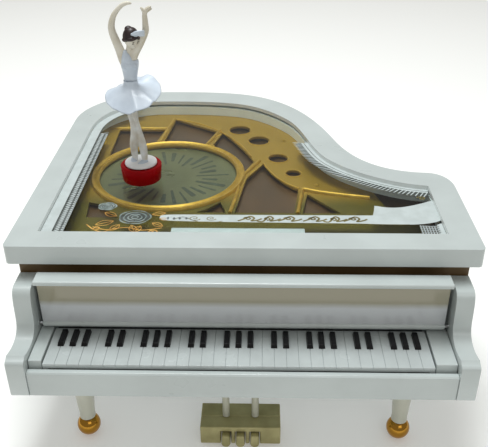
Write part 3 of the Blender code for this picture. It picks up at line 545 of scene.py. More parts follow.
def moulded(name, shape, skin, body, voxel=0.3, smooth=6, stands_for=()):
    """Fuse overlapping forms into one soft-edged moulding."""
    piece = place(name, shape, skin, body, stands_for=stands_for, smooth_deg=None)
    fuse = piece.modifiers.new("fuse", "REMESH")
    fuse.mode = "VOXEL"
    fuse.voxel_size = voxel * MM
    fuse.use_smooth_shade = True
    soft = piece.modifiers.new("soft", "SMOOTH")
    soft.factor = 0.5
    soft.iterations = smooth
    return piece


def ribbon(name, paths, width, skin, body, height, lift=0.06):
    """Flat printed strokes along 2-D paths, each tapered to its ends."""
    shape = bmesh.new()
    for path in paths:
        count = len(path)
        left, right = [], []
        for i, (point, normal) in enumerate(beside(path)):
            half = width / 2 * (0.35 + 0.65 * math.sin(math.pi * (i + 0.5) / count))
            left.append((point[0] + normal.x * half, point[1] + normal.y * half))
            right.append((point[0] - normal.x * half, point[1] - normal.y * half))
        add_prism(shape, [right + left[::-1]], height, height + lift)
    return place(name, shape, skin, body, smooth_deg=30)


# ---- case and lid ------------------------------------------------------------------------

BOSSES = ((-86.0, FRONT_Y + 30.0), (-86.0, FRONT_Y + 118.0), (-31.0, FRONT_Y + 165.8),
          (86.0, FRONT_Y + 14.5), (51.9, FRONT_Y + 72.6))
CASE_INSET = LID_HALF_W - CASE_HIGH.x
CASE_WALL = 2.4
RECESS_LOW = 69.0      # painted shade under the lid starts here on the front wall: a brown standing in for the shadowed gap
TAIL_LEG = (-30.0, FRONT_Y + 150.0)


def make_case():
    outer = offset(lid_outline(rounded=False), CASE_INSET)
    inner = offset(lid_outline(rounded=False), CASE_INSET + CASE_WALL)
    shape = bmesh.new()
    add_prism(shape, [outer, inner], CASE_LOW.z, CASE_HIGH.z)
    post_low, post_high = span("base_plate")[1].z + GAP, span("soundboard")[0].z - GAP
    for x, y in BOSSES:
        add_turned(shape, [(3.0, post_high), (3.0, post_low), (1.3, post_low), (1.3, post_high)], x, y, 24)
    everything = shape.verts[:] + shape.edges[:] + shape.faces[:]
    bmesh.ops.bisect_plane(shape, geom=everything, plane_co=(0, 0, RECESS_LOW), plane_no=(0, 0, 1))
    # Front-wall faces above RECESS_LOW take the recess material, a brown painted shade for the shadowed gap
    # under the lid.
    for face in shape.faces:
        middle = face.calc_center_median()
        if middle.z > RECESS_LOW and abs(middle.y - CASE_LOW.y) < 0.01:
            face.material_index = 1
    side = place("case_side", shape, "white", "case", ("case_shell",), bevel=0.5)
    side.data.materials.append(MATERIALS["recess"])

    edge = offset(lid_outline(rounded=False), CASE_INSET + CASE_WALL + GAP)
    holes = [circle(x, y, 1.4, 16) for x, y in BOSSES]
    holes += [circle(DISC_X, DISC_Y, 1.9, 24), circle(*TAIL_LEG, 2.0, 24)]
    low, high = span("base_plate")
    prism("case_floor", [edge] + holes, low.z, high.z, "white", "case",
          stands_for=("base_plate",), bevel=0.25)


def make_lid():
    outer, window = lid_outline(), window_outline()
    pocket = offset(window, -(window[0][0] - GLASS_LOW.x + GAP))
    step_z = LID_TOP - RIM_LIP
    shape = bmesh.new()

    def level(points, height):
        return [shape.verts.new((x, y, height)) for x, y in points]

    def skirt(first, second, slot=0):
        for i in range(len(first)):
            j = (i + 1) % len(first)
            face = shape.faces.new((first[i], first[j], second[j], second[i]))
            face.material_index = slot

    def cap(outline, outline_verts, hole, hole_verts):
        verts = outline_verts + hole_verts
        for cell in tessellate_polygon([[Vector((x, y, 0)) for x, y in loop]
                                        for loop in (outline, hole)]):
            shape.faces.new([verts[k] for k in cell])

    outer_low, outer_high = level(outer, LID_BOTTOM), level(outer, LID_TOP)
    pocket_low, pocket_high = level(pocket, LID_BOTTOM), level(pocket, step_z)
    window_low, window_high = level(window, step_z), level(window, LID_TOP)
    skirt(outer_low, outer_high)
    skirt(pocket_low, pocket_high)
    skirt(pocket_high, window_low)
    skirt(window_low, window_high, 1)
    cap(outer, outer_low, pocket, pocket_low)
    cap(outer, outer_high, window, window_high)
    rim = place("lid_rim", shape, "white", "case", ("lid_frame",), bevel=0.8, segments=4)
    # The window's inner wall takes the lighter copy of the white plastic, painted light against its shade.
    rim.data.materials.append(MATERIALS["wall"])

    pane = offset(window, -(window[0][0] - GLASS_LOW.x))
    prism("lid_glass", [pane], GLASS_LOW.z, GLASS_HIGH.z, "glass", "case",
          stands_for=("glass_pane",), bevel=0.15, segments=2)
    # The glass seat gets the same painted light.
    seat_top = span("glass_retainer")[1].z
    prism("glass_seat", [pane, window], PLATE_HIGH.z + 0.05, seat_top, "wall", "case",
          stands_for=("glass_retainer",), bevel=0.3)


# ---- keyboard end ------------------------------------------------------------------------

KEYS_LOW, KEYS_HIGH = span("white_keys")
WHITE_KEYS = 32
KEY_PITCH = (KEYS_HIGH.x - KEYS_LOW.x) / WHITE_KEYS
BLACK_GROUPS = (3, 2, 3, 2, 3, 2, 3, 2, 3)
HINGE = (FRONT_Y - 4.0, 49.5)
CHEEK_REACH = span("right_cheek")[0].x - 0.05     # key blocks and slip end just short of the cheeks


def cheek_profile():
    """Side of a cheek in (y, z): upright arm, concave sweep, rounded nose."""
    y, floor = FRONT_Y, span("left_cheek")[0].z
    points = [(y + 3.4, floor), (y - 28.6, floor), (y - 29.2, floor + 1)]
    points += arc(y - 27.4, 47.8, 1.8, 180, 90, 8)
    points += bezier((y - 25.9, 50.6), (y - 19.0, 48.4), (y - 12.4, 48.6), (y - 10.6, 53.5), 16)
    points += bezier((y - 10.6, 53.5), (y - 9.6, 57.0), (y - 10.2, 63.0), (y - 9.0, 66.6), 12)
    points += bezier((y - 9.0, 66.6), (y - 8.2, 68.8), (y - 7.2, 69.5), (y - 4.6, 69.5), 8)
    points += [(y - 4.6, 69.5), (y + 3.4, 69.5)]
    return points


def black_key_centres():
    """Black keys stand over the gaps between white keys, in groups of three and two."""
    centres = []
    gap_number = 1
    for size in BLACK_GROUPS:
        for _ in range(size):
            centres.append(KEYS_LOW.x + gap_number * KEY_PITCH)
            gap_number += 1
        gap_number += 1
    return centres


def add_taper(shape, low_corner, high_corner, inset, front_inset):
    """Add a block whose top is drawn in at the sides and slopes at the front."""
    x0, y0, z0 = low_corner
    x1, y1, z1 = high_corner
    foot = [shape.verts.new(c) for c in ((x0, y0, z0), (x1, y0, z0), (x1, y1, z0), (x0, y1, z0))]
    y2 = y0 + front_inset
    head = [shape.verts.new(c) for c in ((x0 + inset, y2, z1), (x1 - inset, y2, z1), (x1 - inset, y1, z1),
                                         (x0 + inset, y1, z1))]
    shape.faces.new(foot[::-1])
    shape.faces.new(head)
    join_rings(shape, [foot, head])


def make_key_surround():
    """Cheeks, key blocks and the slip in front of the keys."""
    for side, name in ((-1, "left"), (1, "right")):
        low, high = span(f"{name}_cheek")
        loops = [cheek_profile(), circle(*HINGE, 0.9, 16)]
        prism(f"{name}_cheek_fine", loops, low.x, high.x, "white", "case",
              axes="yzx", stands_for=(f"{name}_cheek",), bevel=0.55, segments=4)
        low, high = span(f"{name}_key_block")
        if side < 0:
            low.x = -CHEEK_REACH
        else:
            high.x = CHEEK_REACH
        shape = bmesh.new()
        add_taper(shape, low, high, 0.15, 0.9)
        place(f"{name}_block_fine", shape, "white", "case", (f"{name}_key_block",), bevel=0.35)

    low, high = span("key_slip")
    section = [(low.y, low.z), (high.y, low.z), (high.y, high.z - 0.2), (high.y - 0.6, high.z),
               (low.y + 0.7, high.z), (low.y, high.z - 0.7)]
    prism("key_slip_fine", [section], -CHEEK_REACH, CHEEK_REACH, "white", "case", axes="yzx",
          stands_for=("key_slip",), bevel=0.2)


def make_keys():
    """White keys as one moulding with shallow slots, black keys on a low rail behind them."""
    shape = bmesh.new()
    top, slot_floor = KEYS_HIGH.z, KEYS_HIGH.z - 0.35
    bed = [(KEYS_LOW.x, KEYS_LOW.z), (KEYS_LOW.x + 2, KEYS_LOW.z), (KEYS_LOW.x + 2, top - 2.4),
           (KEYS_HIGH.x - 2, top - 2.4), (KEYS_HIGH.x - 2, KEYS_LOW.z), (KEYS_HIGH.x, KEYS_LOW.z),
           (KEYS_HIGH.x, slot_floor), (KEYS_LOW.x, slot_floor)]
    add_prism(shape, [bed], KEYS_LOW.y + 0.3, KEYS_HIGH.y, axes="xzy")
    for i in range(WHITE_KEYS):
        x = KEYS_LOW.x + i * KEY_PITCH
        add_taper(shape, (x + 0.04, KEYS_LOW.y, slot_floor - 0.6), (x + KEY_PITCH - 0.04, KEYS_HIGH.y, top),
                  0.03, 0.1)
    place("white_keys_fine", shape, "keys", "case", ("white_keys",), bevel=0.14)

    low, high = span("black_keys")
    shape = bmesh.new()
    add_taper(shape, (low.x, high.y - 0.6, low.z - 0.2), (high.x, high.y, low.z + 0.1), 0.1, 0.1)
    for x in black_key_centres():
        add_taper(shape, (x - 1.3, low.y, low.z - 0.2), (x + 1.3, FRONT_Y - 5.6, high.z), 0.3, 0.9)
    place("black_keys_fine", shape, "black", "case", ("black_keys",), bevel=0.2)


def make_fallboard():
    """Hinge barrel, glossy panel standing a little behind it, and the lip along its top."""
    y, z = HINGE
    low, high = span("fallboard")
    top = high.z
    prism("fallboard_barrel", [circle(y, z, 1.4, 32)], low.x, high.x, "white", "fallboard", axes="yzx",
          bevel=0.25)
    panel = [(y + 1.0, z + 0.6), (y - 0.6, z + 0.6), (y - 1.0, top - 2.3), (y + 1.0, top - 2.2)]
    prism("fallboard_panel", [panel], low.x, high.x, "panel", "fallboard", axes="yzx",
          stands_for=("fallboard",), bevel=0.2)
    lip = [(y - 1.0, top - 2.6), (y - 1.6, top - 2.3), (y - 4.6, top - 2.0)]
    lip += arc(y - 4.2, top - 0.8, 0.8, 190, 90, 6) + arc(y + 2.0, top - 0.6, 0.6, 90, 0, 4)
    lip += [(y + 2.6, top - 1.9), (y + 1.0, top - 2.4)]
    prism("fallboard_lip", [lip], low.x, high.x, "white", "fallboard", axes="yzx", bevel=0.25)


def make_legs():
    """Three turned legs, each on a gilt ball foot."""
    for name in ("front_left", "front_right", "tail"):
        low, high = span(f"{name}_leg")
        x, y = (low.x + high.x) / 2, (low.y + high.y) / 2
        shoulder, foot = CASE_LOW.z - GAP, low.z
        profile = [(0, high.z), (1.4, high.z), (1.5, high.z - 0.2), (1.5, shoulder), (4.55, shoulder),
                   (4.75, shoulder - 0.3), (4.75, shoulder - 1.6), (4.3, shoulder - 2.2),
                   (3.55, foot + 6.5), (3.1, foot + 1.4), (3.3, foot + 0.9), (3.3, foot + 0.2),
                   (3.1, foot), (0, foot)]
        # The legs wear the darker, painted-shade copy of the white plastic.
        turned(f"{name}_leg_fine", profile, x, y, "leg", "case", 56,
               stands_for=(f"{name}_leg",), smooth_deg=28)
        low, high = span(f"{name}_ball_foot")
        radius = (high.x - low.x) / 2
        ball = [(0, high.z)]
        ball += [(radius * math.sin(math.radians(a)), radius + radius * math.cos(math.radians(a)))
                 for a in range(28, 163, 5)]
        ball += [(1.5, 0.0), (0, 0.0)]
        turned(f"{name}_ball_fine", ball, x, y, "foot", "case", 56, stands_for=(f"{name}_ball_foot",))


def make_lyre():
    """Pedal box with a slot for each pedal, its two posts and the pedals."""
    pedals = [span(f"{name}_pedal") for name in ("left", "middle", "right")]
    pedal_centres = [(first.x + last.x) / 2 for first, last in pedals]
    low, high = span("pedal_box")
    shape = bmesh.new()
    outline = [(low.x, low.z), (high.x, low.z), (high.x, high.z), (low.x, high.z)]
    notched = outline[:1]
    for x in pedal_centres:
        left, right, top = x - 2.1, x + 2.1, low.z + 6.8
        notched += [(left, low.z), (left, top), (right, top), (right, low.z)]
    notched += outline[1:]
    add_prism(shape, [notched], low.y, low.y + 6.5, axes="xzy")
    add_prism(shape, [outline], low.y + 6.5, high.y, axes="xzy")
    place("pedal_box_fine", shape, "lyre", "case", ("pedal_box",), bevel=0.5)
    for name in ("left", "right"):
        low, high = span(f"{name}_lyre_post")
        x, y = (low.x + high.x) / 2, (low.y + high.y) / 2
        profile = [(0, high.z), (1.5, high.z), (1.5, low.z + 1.2), (1.35, low.z + 0.9), (1.5, low.z + 0.6),
                   (1.5, low.z), (0, low.z)]
        turned(f"{name}_post_fine", profile, x, y, "leg", "case", 32, stands_for=(f"{name}_lyre_post",))
    for name in ("left", "middle", "right"):
        low, high = span(f"{name}_pedal")
        shape = bmesh.new()
        x = (low.x + high.x) / 2
        outline = arc(x, low.z + 1.9, 1.9, 180, 360, 14) + [(x + 1.6, high.z), (x - 1.6, high.z)]
        add_prism(shape, [outline], low.y, high.y, axes="xzy")
        place(f"{name}_pedal_fine", shape, "lyre", "case", (f"{name}_pedal",), bevel=0.7, segments=4)


# ---- decor under the glass ---------------------------------------------------------------

PLATE_TOP = PLATE_HIGH.z
BAND_HOLES = ((-4.6, 136.3, 5.8), (6.1, 122.0, 5.5), (16.1, 99.8, 4.9), (23.2, 82.5, 3.6))
PLATE_SCREWS = ((19.6, 122.5), (34.0, 70.0))


def ring_points(start_deg, end_deg, steps=16):
    return arc(DISC_X, DISC_Y, RING_OUT, start_deg, end_deg, steps)


def plate_openings():
    """Openings of the harp plate: the ring's middle, the gaps between struts, band holes, screws."""
    y = FRONT_Y
    loops = [circle(DISC_X, DISC_Y, RING_IN, 96)]
    loops.append([(-72, y + 137), (-72, y + 103)] + ring_points(146, 108) + [(-46.5, y + 137)])
    loops.append([(-42, y + 152)] + ring_points(101, 65) + [(-17.5, y + 135)])
    loops.append([(-14, y + 133.5)] + ring_points(59, 4, 24)
                 + bezier((3.5, y + 95.5), (1.5, y + 103), (-2, y + 112), (-14, y + 133.5), 10))
    loops.append([(8.5, y + 93.5), (0.3, y + 77.5), (-1.3, y + 68), (-4.6, y + 43), (22, y + 43),
                  (25, y + 65.5)]
                 + bezier((25, y + 65.5), (19, y + 70), (13, y + 80), (8.5, y + 93.5), 8)[1:])
    loops.append([(29, y + 61), (26, y + 43), (43, y + 43)])
    loops.append([(-72, y + 52), (-70.5, y + 38), (-56.5, y + 38), (-66, y + 50)])
    loops.append([(-11.5, y + 53), (-17.5, y + 46), (-22, y + 43), (-8.5, y + 43)])
    for x, depth, radius in BAND_HOLES:
        loops.append(circle(x, y + depth, radius, 40))
    loops += [circle(x, y + depth, 0.9, 12) for x, depth in PLATE_SCREWS]
    return loops


def plate_edge():
    y = FRONT_Y
    wall = [p for p in offset(window_outline(), -0.6) if p[1] > y + 57 and p[0] < 60]
    return [(-79.5, y + 8), (78, y + 8), (78, y + 30), (64, y + 48)] + wall + [(-79.5, y + 112)]


def raised_bar(shape, path, width, height):
    """Add a rounded rib along a 2-D path on the plate."""
    rows = []
    for point, normal in beside(path):
        row = []
        for k in range(9):
            angle = math.pi * k / 8
            reach = math.cos(angle) * width / 2
            row.append(shape.verts.new((point[0] + normal.x * reach, point[1] + normal.y * reach,
                                        PLATE_TOP - 0.1 + math.sin(angle) * height)))
        rows.append(row)
    join_rings(shape, rows)
    shape.faces.new(rows[0])
    shape.faces.new(rows[-1])


def make_decor():
    y = FRONT_Y
    prism("harp_plate", [plate_edge()] + plate_openings(), PLATE_LOW.z, PLATE_TOP, "gold", "case",
          stands_for=("gold_plate",), bevel=0.22)
    top = PLATE_TOP - 0.1
    profile = [(RING_OUT + 0.5, top), (RING_OUT + 0.4, top + 0.9), (RING_OUT - 0.1, top + 1.35),
               (RING_OUT - 0.6, top + 1.1), (RING_OUT - 1.1, top + 0.75), (RING_IN + 1.0, top + 0.75),
               (RING_IN + 0.5, top + 1.1), (RING_IN, top + 1.35), (RING_IN - 0.5, top + 0.9),
               (RING_IN - 0.6, top)]
    turned("harp_ring", profile, DISC_X, DISC_Y, "bright", "case", 144, smooth_deg=60)
    shape = bmesh.new()
    for path in (((-47.5, 118.5), (-44.6, 140.0), (-42.8, 152.5)),
                 ((-22.3, 115.3), (-18.8, 126.0), (-15.6, 136.5)),
                 ((-1.8, 79.5), (2.2, 88.0), (6.4, 96.5)), ((-3.3, 68.0), (-4.8, 55.0), (-6.7, 42.5)),
                 ((26.9, 66.0), (25.3, 54.0), (23.7, 42.5))):
        raised_bar(shape, [(x, y + depth) for x, depth in path], 1.9, 1.1)
    place("harp_struts", shape, "bright", "case")
    shape = bmesh.new()
    inner_edge = [(-78, 138.5), (-60, 138.6), (-45, 138.6)]
    raised_bar(shape, [(x, y + depth) for x, depth in inner_edge], 1.6, 0.8)
    curve = [(27.5, 65.2), (34, 62.4), (42, 60.2), (50, 58.4), (57.5, 57.0)]
    raised_bar(shape, [(x, y + depth) for x, depth in curve], 2.4, 1.6)
    curve = bezier((-42, 151.5), (-24, 146.5), (-6, 130), (3.6, 97), 20)
    raised_bar(shape, [(x, y + depth) for x, depth in curve], 1.1, 0.7)
    curve = bezier((8.6, 93.5), (13, 79), (19, 69.5), (27, 65.8), 14)
    raised_bar(shape, [(x, y + depth) for x, depth in curve], 1.1, 0.7)
    place("harp_ribs", shape, "bright", "case")
    prism("harp_brace", [[(28.6, y + 63.5), (31.5, y + 65.0), (49.0, y + 46.5), (45.5, y + 43.5)]],
          PLATE_LOW.z - 0.6, PLATE_TOP - 0.1, "khaki", "case", bevel=0.3)
    shape = bmesh.new()
    for x, depth, radius in BAND_HOLES:
        rim = [(radius + 0.75, PLATE_TOP - 0.1), (radius + 0.55, PLATE_TOP + 0.32),
               (radius + 0.1, PLATE_TOP + 0.32), (radius - 0.05, PLATE_TOP - 0.1)]
        add_turned(shape, rim, x, y + depth, 40)
    place("harp_hole_rims", shape, "bright", "case")

    low, high = span("sunburst_disc")
    prism("disc_fine", [circle(DISC_X, DISC_Y, (high.x - low.x) / 2, 96)], low.z, high.z, "disc", "case",
          stands_for=("sunburst_disc",), bevel=0.1)
    make_sunburst(high.z)

    low, high = span("soundboard")
    edge = offset(lid_outline(rounded=False), CASE_INSET + CASE_WALL + GAP)
    holes = [circle(DISC_X, DISC_Y, 30.0, 64)] + [circle(x, y + depth, 0.9, 12) for x, depth in PLATE_SCREWS]
    prism("soundboard_fine", [edge] + holes, low.z, high.z, "board", "case",
          stands_for=("soundboard",), bevel=0.1)

    low, high = span("front_cover_block")
    prism("cover_block_fine", [rectangle(low.x, low.y, high.x, high.y)], low.z, high.z, "white", "case",
          stands_for=("front_cover_block",), bevel=0.4)


def make_sunburst(top):
    """Printed rays of uneven length round the disc."""
    shape = bmesh.new()
    rays = 30
    for i in range(rays):
        angle = 2 * math.pi * (i + 0.5) / rays
        start = 13.5 + 4.5 * ((i * 7) % 5) / 4
        end = 29.5 - 5.5 * ((i * 3) % 4) / 3
        half = 0.65 + 0.32 * ((i * 5) % 3)
        ahead = Vector((math.cos(angle), math.sin(angle)))
        side = Vector((-ahead.y, ahead.x))
        corners = []
        outline = ((start, -half * 0.6), (end, -half), (end + 0.6, 0), (end, half), (start, half * 0.6))
        for along, across in outline:
            spot = Vector((DISC_X, DISC_Y)) + ahead * along + side * across
            corners.append((spot.x, spot.y))
        add_prism(shape, [corners], top - 0.02, top + 0.05)
    place("disc_rays", shape, "ink", "case", smooth_deg=30)


# ---- print on the glass ------------------------------------------------------------------

PRINT_Z = GLASS_HIGH.z + 0.01
PRINT_THICK = 0.04


def spiral(cx, cy, radius, turns, start_deg, steps=26, grow=0.15):
    points = []
    for i in range(steps + 1):
        t = i / steps
        angle = math.radians(start_deg) + 2 * math.pi * turns * t
        reach = radius * (grow + (1 - grow) * t)
        points.append((cx + reach * math.cos(angle), cy + reach * math.sin(angle)))
    return points


def border_band(shape, line, inner, outer, height):
    """Add a flat band beside a line, between two distances to its left."""
    near, far = [[(point[0] + normal.x * reach, point[1] + normal.y * reach)
                  for point, normal in beside(line)] for reach in (inner, outer)]
    for a, b, c, d in zip(near, near[1:], far[1:], far):
        add_prism(shape, [[a, b, c, d]], height, height + PRINT_THICK)


def strokes(line, inner, outer, pitch, slant):
    """Short slanted strokes across a band beside a line."""
    result = []
    carried = 0.0
    for a, b in zip(line, line[1:]):
        ahead = Vector(b) - Vector(a)
        length = ahead.length
        ahead.normalize()
        normal = Vector((-ahead.y, ahead.x))
        while carried < length:
            foot = Vector(a) + ahead * carried
            first = foot + normal * inner
            last = foot + normal * outer + ahead * slant
            result.append([tuple(first), tuple((first + last) / 2), tuple(last)])
            carried += pitch
        carried -= length
    return result


def add_stroke(shape, path, widths, height):
    """Add a flat stroke along a path, with one width or a width for each point."""
    left, right = [], []
    for i, (point, normal) in enumerate(beside(path)):
        half = (widths[i] if isinstance(widths, (list, tuple)) else widths) / 2
        left.append((point[0] + normal.x * half, point[1] + normal.y * half))
        right.append((point[0] - normal.x * half, point[1] - normal.y * half))
    for a, b, c, d in zip(right, right[1:], left[1:], left):
        add_prism(shape, [[a, b, c, d]], height, height + PRINT_THICK)


def glass_strokes(name, skin, strokes_and_widths, height=PRINT_Z):
    shape = bmesh.new()
    for path, widths in strokes_and_widths:
        add_stroke(shape, path, widths, height)
    place(name, shape, skin, "case", smooth_deg=30)


def dense(points, steps=8):
    return spline_points(points, steps)


def border_lines():
    """Lines along the window that the printed bands follow: the left side, and the bend on the right."""
    y = FRONT_Y
    window = window_outline()
    corner = sorted((p for p in window if p[0] < -62 and p[1] > y + 119), key=lambda p: -p[1])
    steps = [(-83.9, y + 12.2 + i * 2.0) for i in range(54)][::-1]
    left = dense(corner[::2], 3)[:-1] + [p for p in steps if p[1] < corner[-1][1]]
    bend = [p for p in window if p[0] > 30.5 and p[1] > y + 53.9]
    if bend[0][0] > bend[-1][0]:
        bend.reverse()
    return left, bend


def make_print():
    """White bands with a dark line, a lattice on the left and slanted strokes on the bent side."""
    left, bend = border_lines()
    shape = bmesh.new()
    border_band(shape, left, 0.0, 4.6, PRINT_Z)
    border_band(shape, bend, -3.4, 0.0, PRINT_Z)
    place("print_border", shape, "print", "case", smooth_deg=30)
    shape = bmesh.new()
    border_band(shape, left, 4.7, 5.15, PRINT_Z)
    border_band(shape, bend, -2.15, -1.85, PRINT_Z + 0.03)
    place("print_border_line", shape, "line", "case", smooth_deg=30)
    straight = [p for p in left if p[1] < FRONT_Y + 118]
    shape = bmesh.new()
    border_band(shape, straight, 5.15, 9.4, PRINT_Z - 0.008)
    border_band(shape, bend, -6.4, -3.4, PRINT_Z - 0.008)
    place("print_hatch_ground", shape, "line", "case", smooth_deg=30)
    ribbon("print_hatch", strokes(straight, 5.3, 9.4, 1.7, 1.4) + strokes(straight, 5.3, 9.4, 1.7, -1.4)
           + strokes(bend, -3.3, -7.4, 1.7, -1.6), 0.55, "print", "case", PRINT_Z)
    make_banner()
    make_roses()


def banner_edges():
    """Upper and lower edge of the printed ribbon, from its thin left end to its flared right end."""
    y = FRONT_Y
    upper = dense([(-36.0, y + 27.0), (-33.0, y + 29.6), (-10.0, y + 29.8), (20.0, y + 29.9),
                   (54.5, y + 30.0)], 6)
    upper += dense([(55.0, y + 30.2), (56.6, y + 37.2), (57.0, y + 38.4), (62.0, y + 37.0), (68.0, y + 37.2),
                    (75.0, y + 39.6), (83.0, y + 43.6)], 6)
    lower = dense([(-36.0, y + 26.6), (-32.0, y + 24.4), (-10.0, y + 23.6), (20.0, y + 23.2),
                   (46.0, y + 22.9), (60.0, y + 22.4), (72.0, y + 22.6), (79.0, y + 24.0),
                   (83.0, y + 26.0)], 8)
    return upper, lower


def curl(cx, cy, radius, turns, start_deg, flip=1):
    points = spiral(cx, cy, radius, turns * flip, start_deg, 30)
    return [(px, cy + (py - cy) * 0.8) for px, py in points]


def make_banner():
    y = FRONT_Y
    upper, lower = banner_edges()
    prism("print_banner", [lower + upper[::-1]], PRINT_Z, PRINT_Z + PRINT_THICK, "print", "case",
          smooth_deg=30)
    edges = [([p for p in lower if p[0] < 70], 0.22), (upper[:30], 0.22)]
    glass_strokes("print_banner_edges", "khaki", edges, PRINT_Z + 0.02)
    shapes = []
    for cx, reach in ((-21.0, 2.6), (-14.0, 2.3)):
        shapes.append((curl(cx, y + 26.6, reach, 1.4, 200), 0.35))
    vine = [(-30, y + 25.2), (-26, y + 27.6), (-21, y + 24.6), (-16, y + 22.6), (-9, y + 24.2)]
    shapes.append((dense(vine), 0.3))
    for start, sway in ((0.0, 1), (8.0, -1), (17.0, 1), (27.5, 1), (36.0, -1), (44.5, 1)):
        x = start
        scroll = [(x - 2.5, y + 24.6), (x, y + 25.2 + sway), (x + 2.6, y + 28.4), (x + 4.4, y + 26.8),
                  (x + 3.2, y + 24.6), (x + 6.0, y + 25.4), (x + 7.6, y + 26.6)]
        shapes.append((dense(scroll), 0.85))
        shapes.append((curl(x + 1.6, y + 26.5, 1.7, 1.1, 40 + 90 * sway, sway), 0.7))
    shapes.append((curl(78.5, y + 45.5, 2.0, 1.3, 60), 0.6))
    glass_strokes("print_scrolls", "khaki", shapes, PRINT_Z + 0.06)
    grid = []
    for k in range(7):
        grid.append(([(73.6 + k * 1.15, y + 12.4), (73.6 + k * 1.15, y + 21.8 - 0.1 * k)], 0.4))
    for k in range(6):
        grid.append(([(73.2, y + 13.2 + k * 1.6), (81.2, y + 13.2 + k * 1.6)], 0.4))
    glass_strokes("print_corner_grid", "print", grid)
    prism("print_corner", [[(80.6, y + 12.2), (82.9, y + 12.2), (82.9, y + 23.6), (80.6, y + 22.4)]],
          PRINT_Z, PRINT_Z + PRINT_THICK, "print", "case", smooth_deg=30)


def rose(cx, cy, radius):
    """Petals of a rose seen from above, as nested open arcs."""
    petals = []
    rings = ((0.22, 2, 170), (0.45, 3, 112), (0.72, 4, 92), (1.0, 5, 78))   # share of radius, petals, sweep
    for ring, (share, count, sweep) in enumerate(rings):
        for k in range(count):
            turn = 360 * k / count + ring * 37
            points, widths = [], []
            for i in range(11):
                swell = math.sin(math.pi * i / 10)
                angle = math.radians(turn + sweep * i / 10)
                points.append((cx + radius * share * (1 + 0.10 * swell) * math.cos(angle),
                               cy + 0.9 * radius * share * math.sin(angle)))
                widths.append(0.25 + 0.45 * swell)
            petals.append((points, widths))
    return petals


def leaf(x, y, length, turn_deg, width=0.32):
    """Outline and vein of a pointed leaf."""
    ahead = Vector((math.cos(math.radians(turn_deg)), math.sin(math.radians(turn_deg))))
    side = Vector((-ahead.y, ahead.x))
    base = Vector((x, y))
    lines = []
    for bow in (-0.26, 0.26, 0.0):
        lines.append(([tuple(base + ahead * length * t + side * length * bow * math.sin(math.pi * t))
                       for t in (i / 8 for i in range(9))], width))
    return lines


def make_roses():
    y = FRONT_Y
    rose_at, bud_at = (-46.5, y + 27.2), (-60.0, y + 36.6)
    for name, spot, wide, deep in (("print_rose_ground", rose_at, 6.4, 4.6),
                                   ("print_bud_ground", bud_at, 3.7, 3.0)):
        prism(name, [wavy_patch(*spot, wide, deep)], PRINT_Z - 0.008, PRINT_Z + 0.03, "line", "case",
              smooth_deg=30)
    glass_strokes("print_roses", "rose", rose(*rose_at, 6.2) + rose(*bud_at, 3.6), PRINT_Z + 0.05)
    sprigs = ((-54.5, 28.0, 6.5, 150), (-55.0, 24.0, 8.0, 205), (-52.0, 21.0, 6.0, 235),
              (-38.5, 22.5, 5.5, 330), (-39.5, 29.5, 6.0, 15), (-36.0, 26.0, 4.0, 350),
              (-47.0, 20.5, 6.0, 290), (-43.0, 20.0, 5.5, 250))
    leaves = [line for x, depth, *rest in sprigs for line in leaf(x, y + depth, *rest)]
    glass_strokes("print_leaves", "orange", leaves, PRINT_Z + 0.02)
    stems = [([(-63, y + 19.0), (-57, y + 16.8), (-49, y + 18.6), (-42, y + 16.5), (-34, y + 18.4)], 0.5),
             ([(-66, y + 21.0), (-62, y + 16.6), (-58, y + 15.0), (-55, y + 17.2)], 0.5)]
    stems = [(dense(path), width) for path, width in stems]
    stems += [(curl(-37.0, y + 15.2, 2.4, 1.5, 90), 0.6), (curl(-61.5, y + 17.6, 1.9, 1.3, 0), 0.5)]
    glass_strokes("print_stems", "orange", stems, PRINT_Z + 0.03)
    twist = [[(-33, y + 28.0), (-31, y + 24.8), (-28.5, y + 27.8), (-26, y + 24.8), (-23.5, y + 27.6)],
             [(-33, y + 25.0), (-31, y + 28.2), (-28.5, y + 24.8), (-26, y + 27.8), (-23.5, y + 25.0)]]
    glass_strokes("print_twist", "print", [(dense(path), 0.9) for path in twist], PRINT_Z + 0.06)


def wavy_patch(cx, cy, wide, deep, lobes=9):
    """Wavy-edged patch outline."""
    points = []
    for i in range(72):
        angle = 2 * math.pi * i / 72
        reach = 1 + 0.07 * math.sin(lobes * angle)
        points.append((cx + wide * reach * math.cos(angle), cy + deep * reach * math.sin(angle)))
    return points


# ---- figure ------------------------------------------------------------------------------

FACE_TOWARDS = Vector((0.62, -0.62, -0.48)).normalized()
HEAD_AT = Vector((DOLL_X + 0.6, DOLL_Y - 0.4, 148.3))
TUTU_R = 11.9
BRIM_H = 41.4      # mean height of the skirt's brim above the lid
TUTU_EDGE = ((0, 40.6), (30, 42.8), (60, 45.4), (84, 43.4), (120, 40.8), (150, 40.2), (180, 40.9),
             (213, 37.4), (262, 35.4), (297, 37.2), (330, 39.0))     # degrees, height of the brim


def figure_points(points):
    """Points given from the figure's axis, with heights above the lid's top."""
    return [(DOLL_X + p[0], DOLL_Y + p[1], LID_TOP + p[2]) + tuple(p[3:]) for p in points]


def make_pedestal():
    x, y = DOLL_X, DOLL_Y
    low, high = BASE_LOW.z, BASE_HIGH.z
    top_r = (BASE_HIGH.x - BASE_LOW.x) / 2
    profile = [(0, high - 0.15), (top_r - 1.7, high - 0.15), (top_r - 1.5, high), (top_r - 0.35, high),
               (top_r, high - 0.35), (top_r - 0.5, low + 0.5), (top_r - 0.8, low),
               (6.0, low), (6.0, low + 4.0), (0, low + 4.0)]
    turned("pedestal", profile, x, y, "red", "figure", 72, stands_for=("figure_base",), smooth_deg=50)
    low, high = [corner.z for corner in span("foot_disc")]
    profile = [(0, high), (6.8, high), (7.25, high - 0.2), (7.4, high - 0.55), (7.4, low), (0, low)]
    turned("figure_foot_plate", profile, x, y, "plate_lit_white", "figure", 64, stands_for=("foot_disc",))


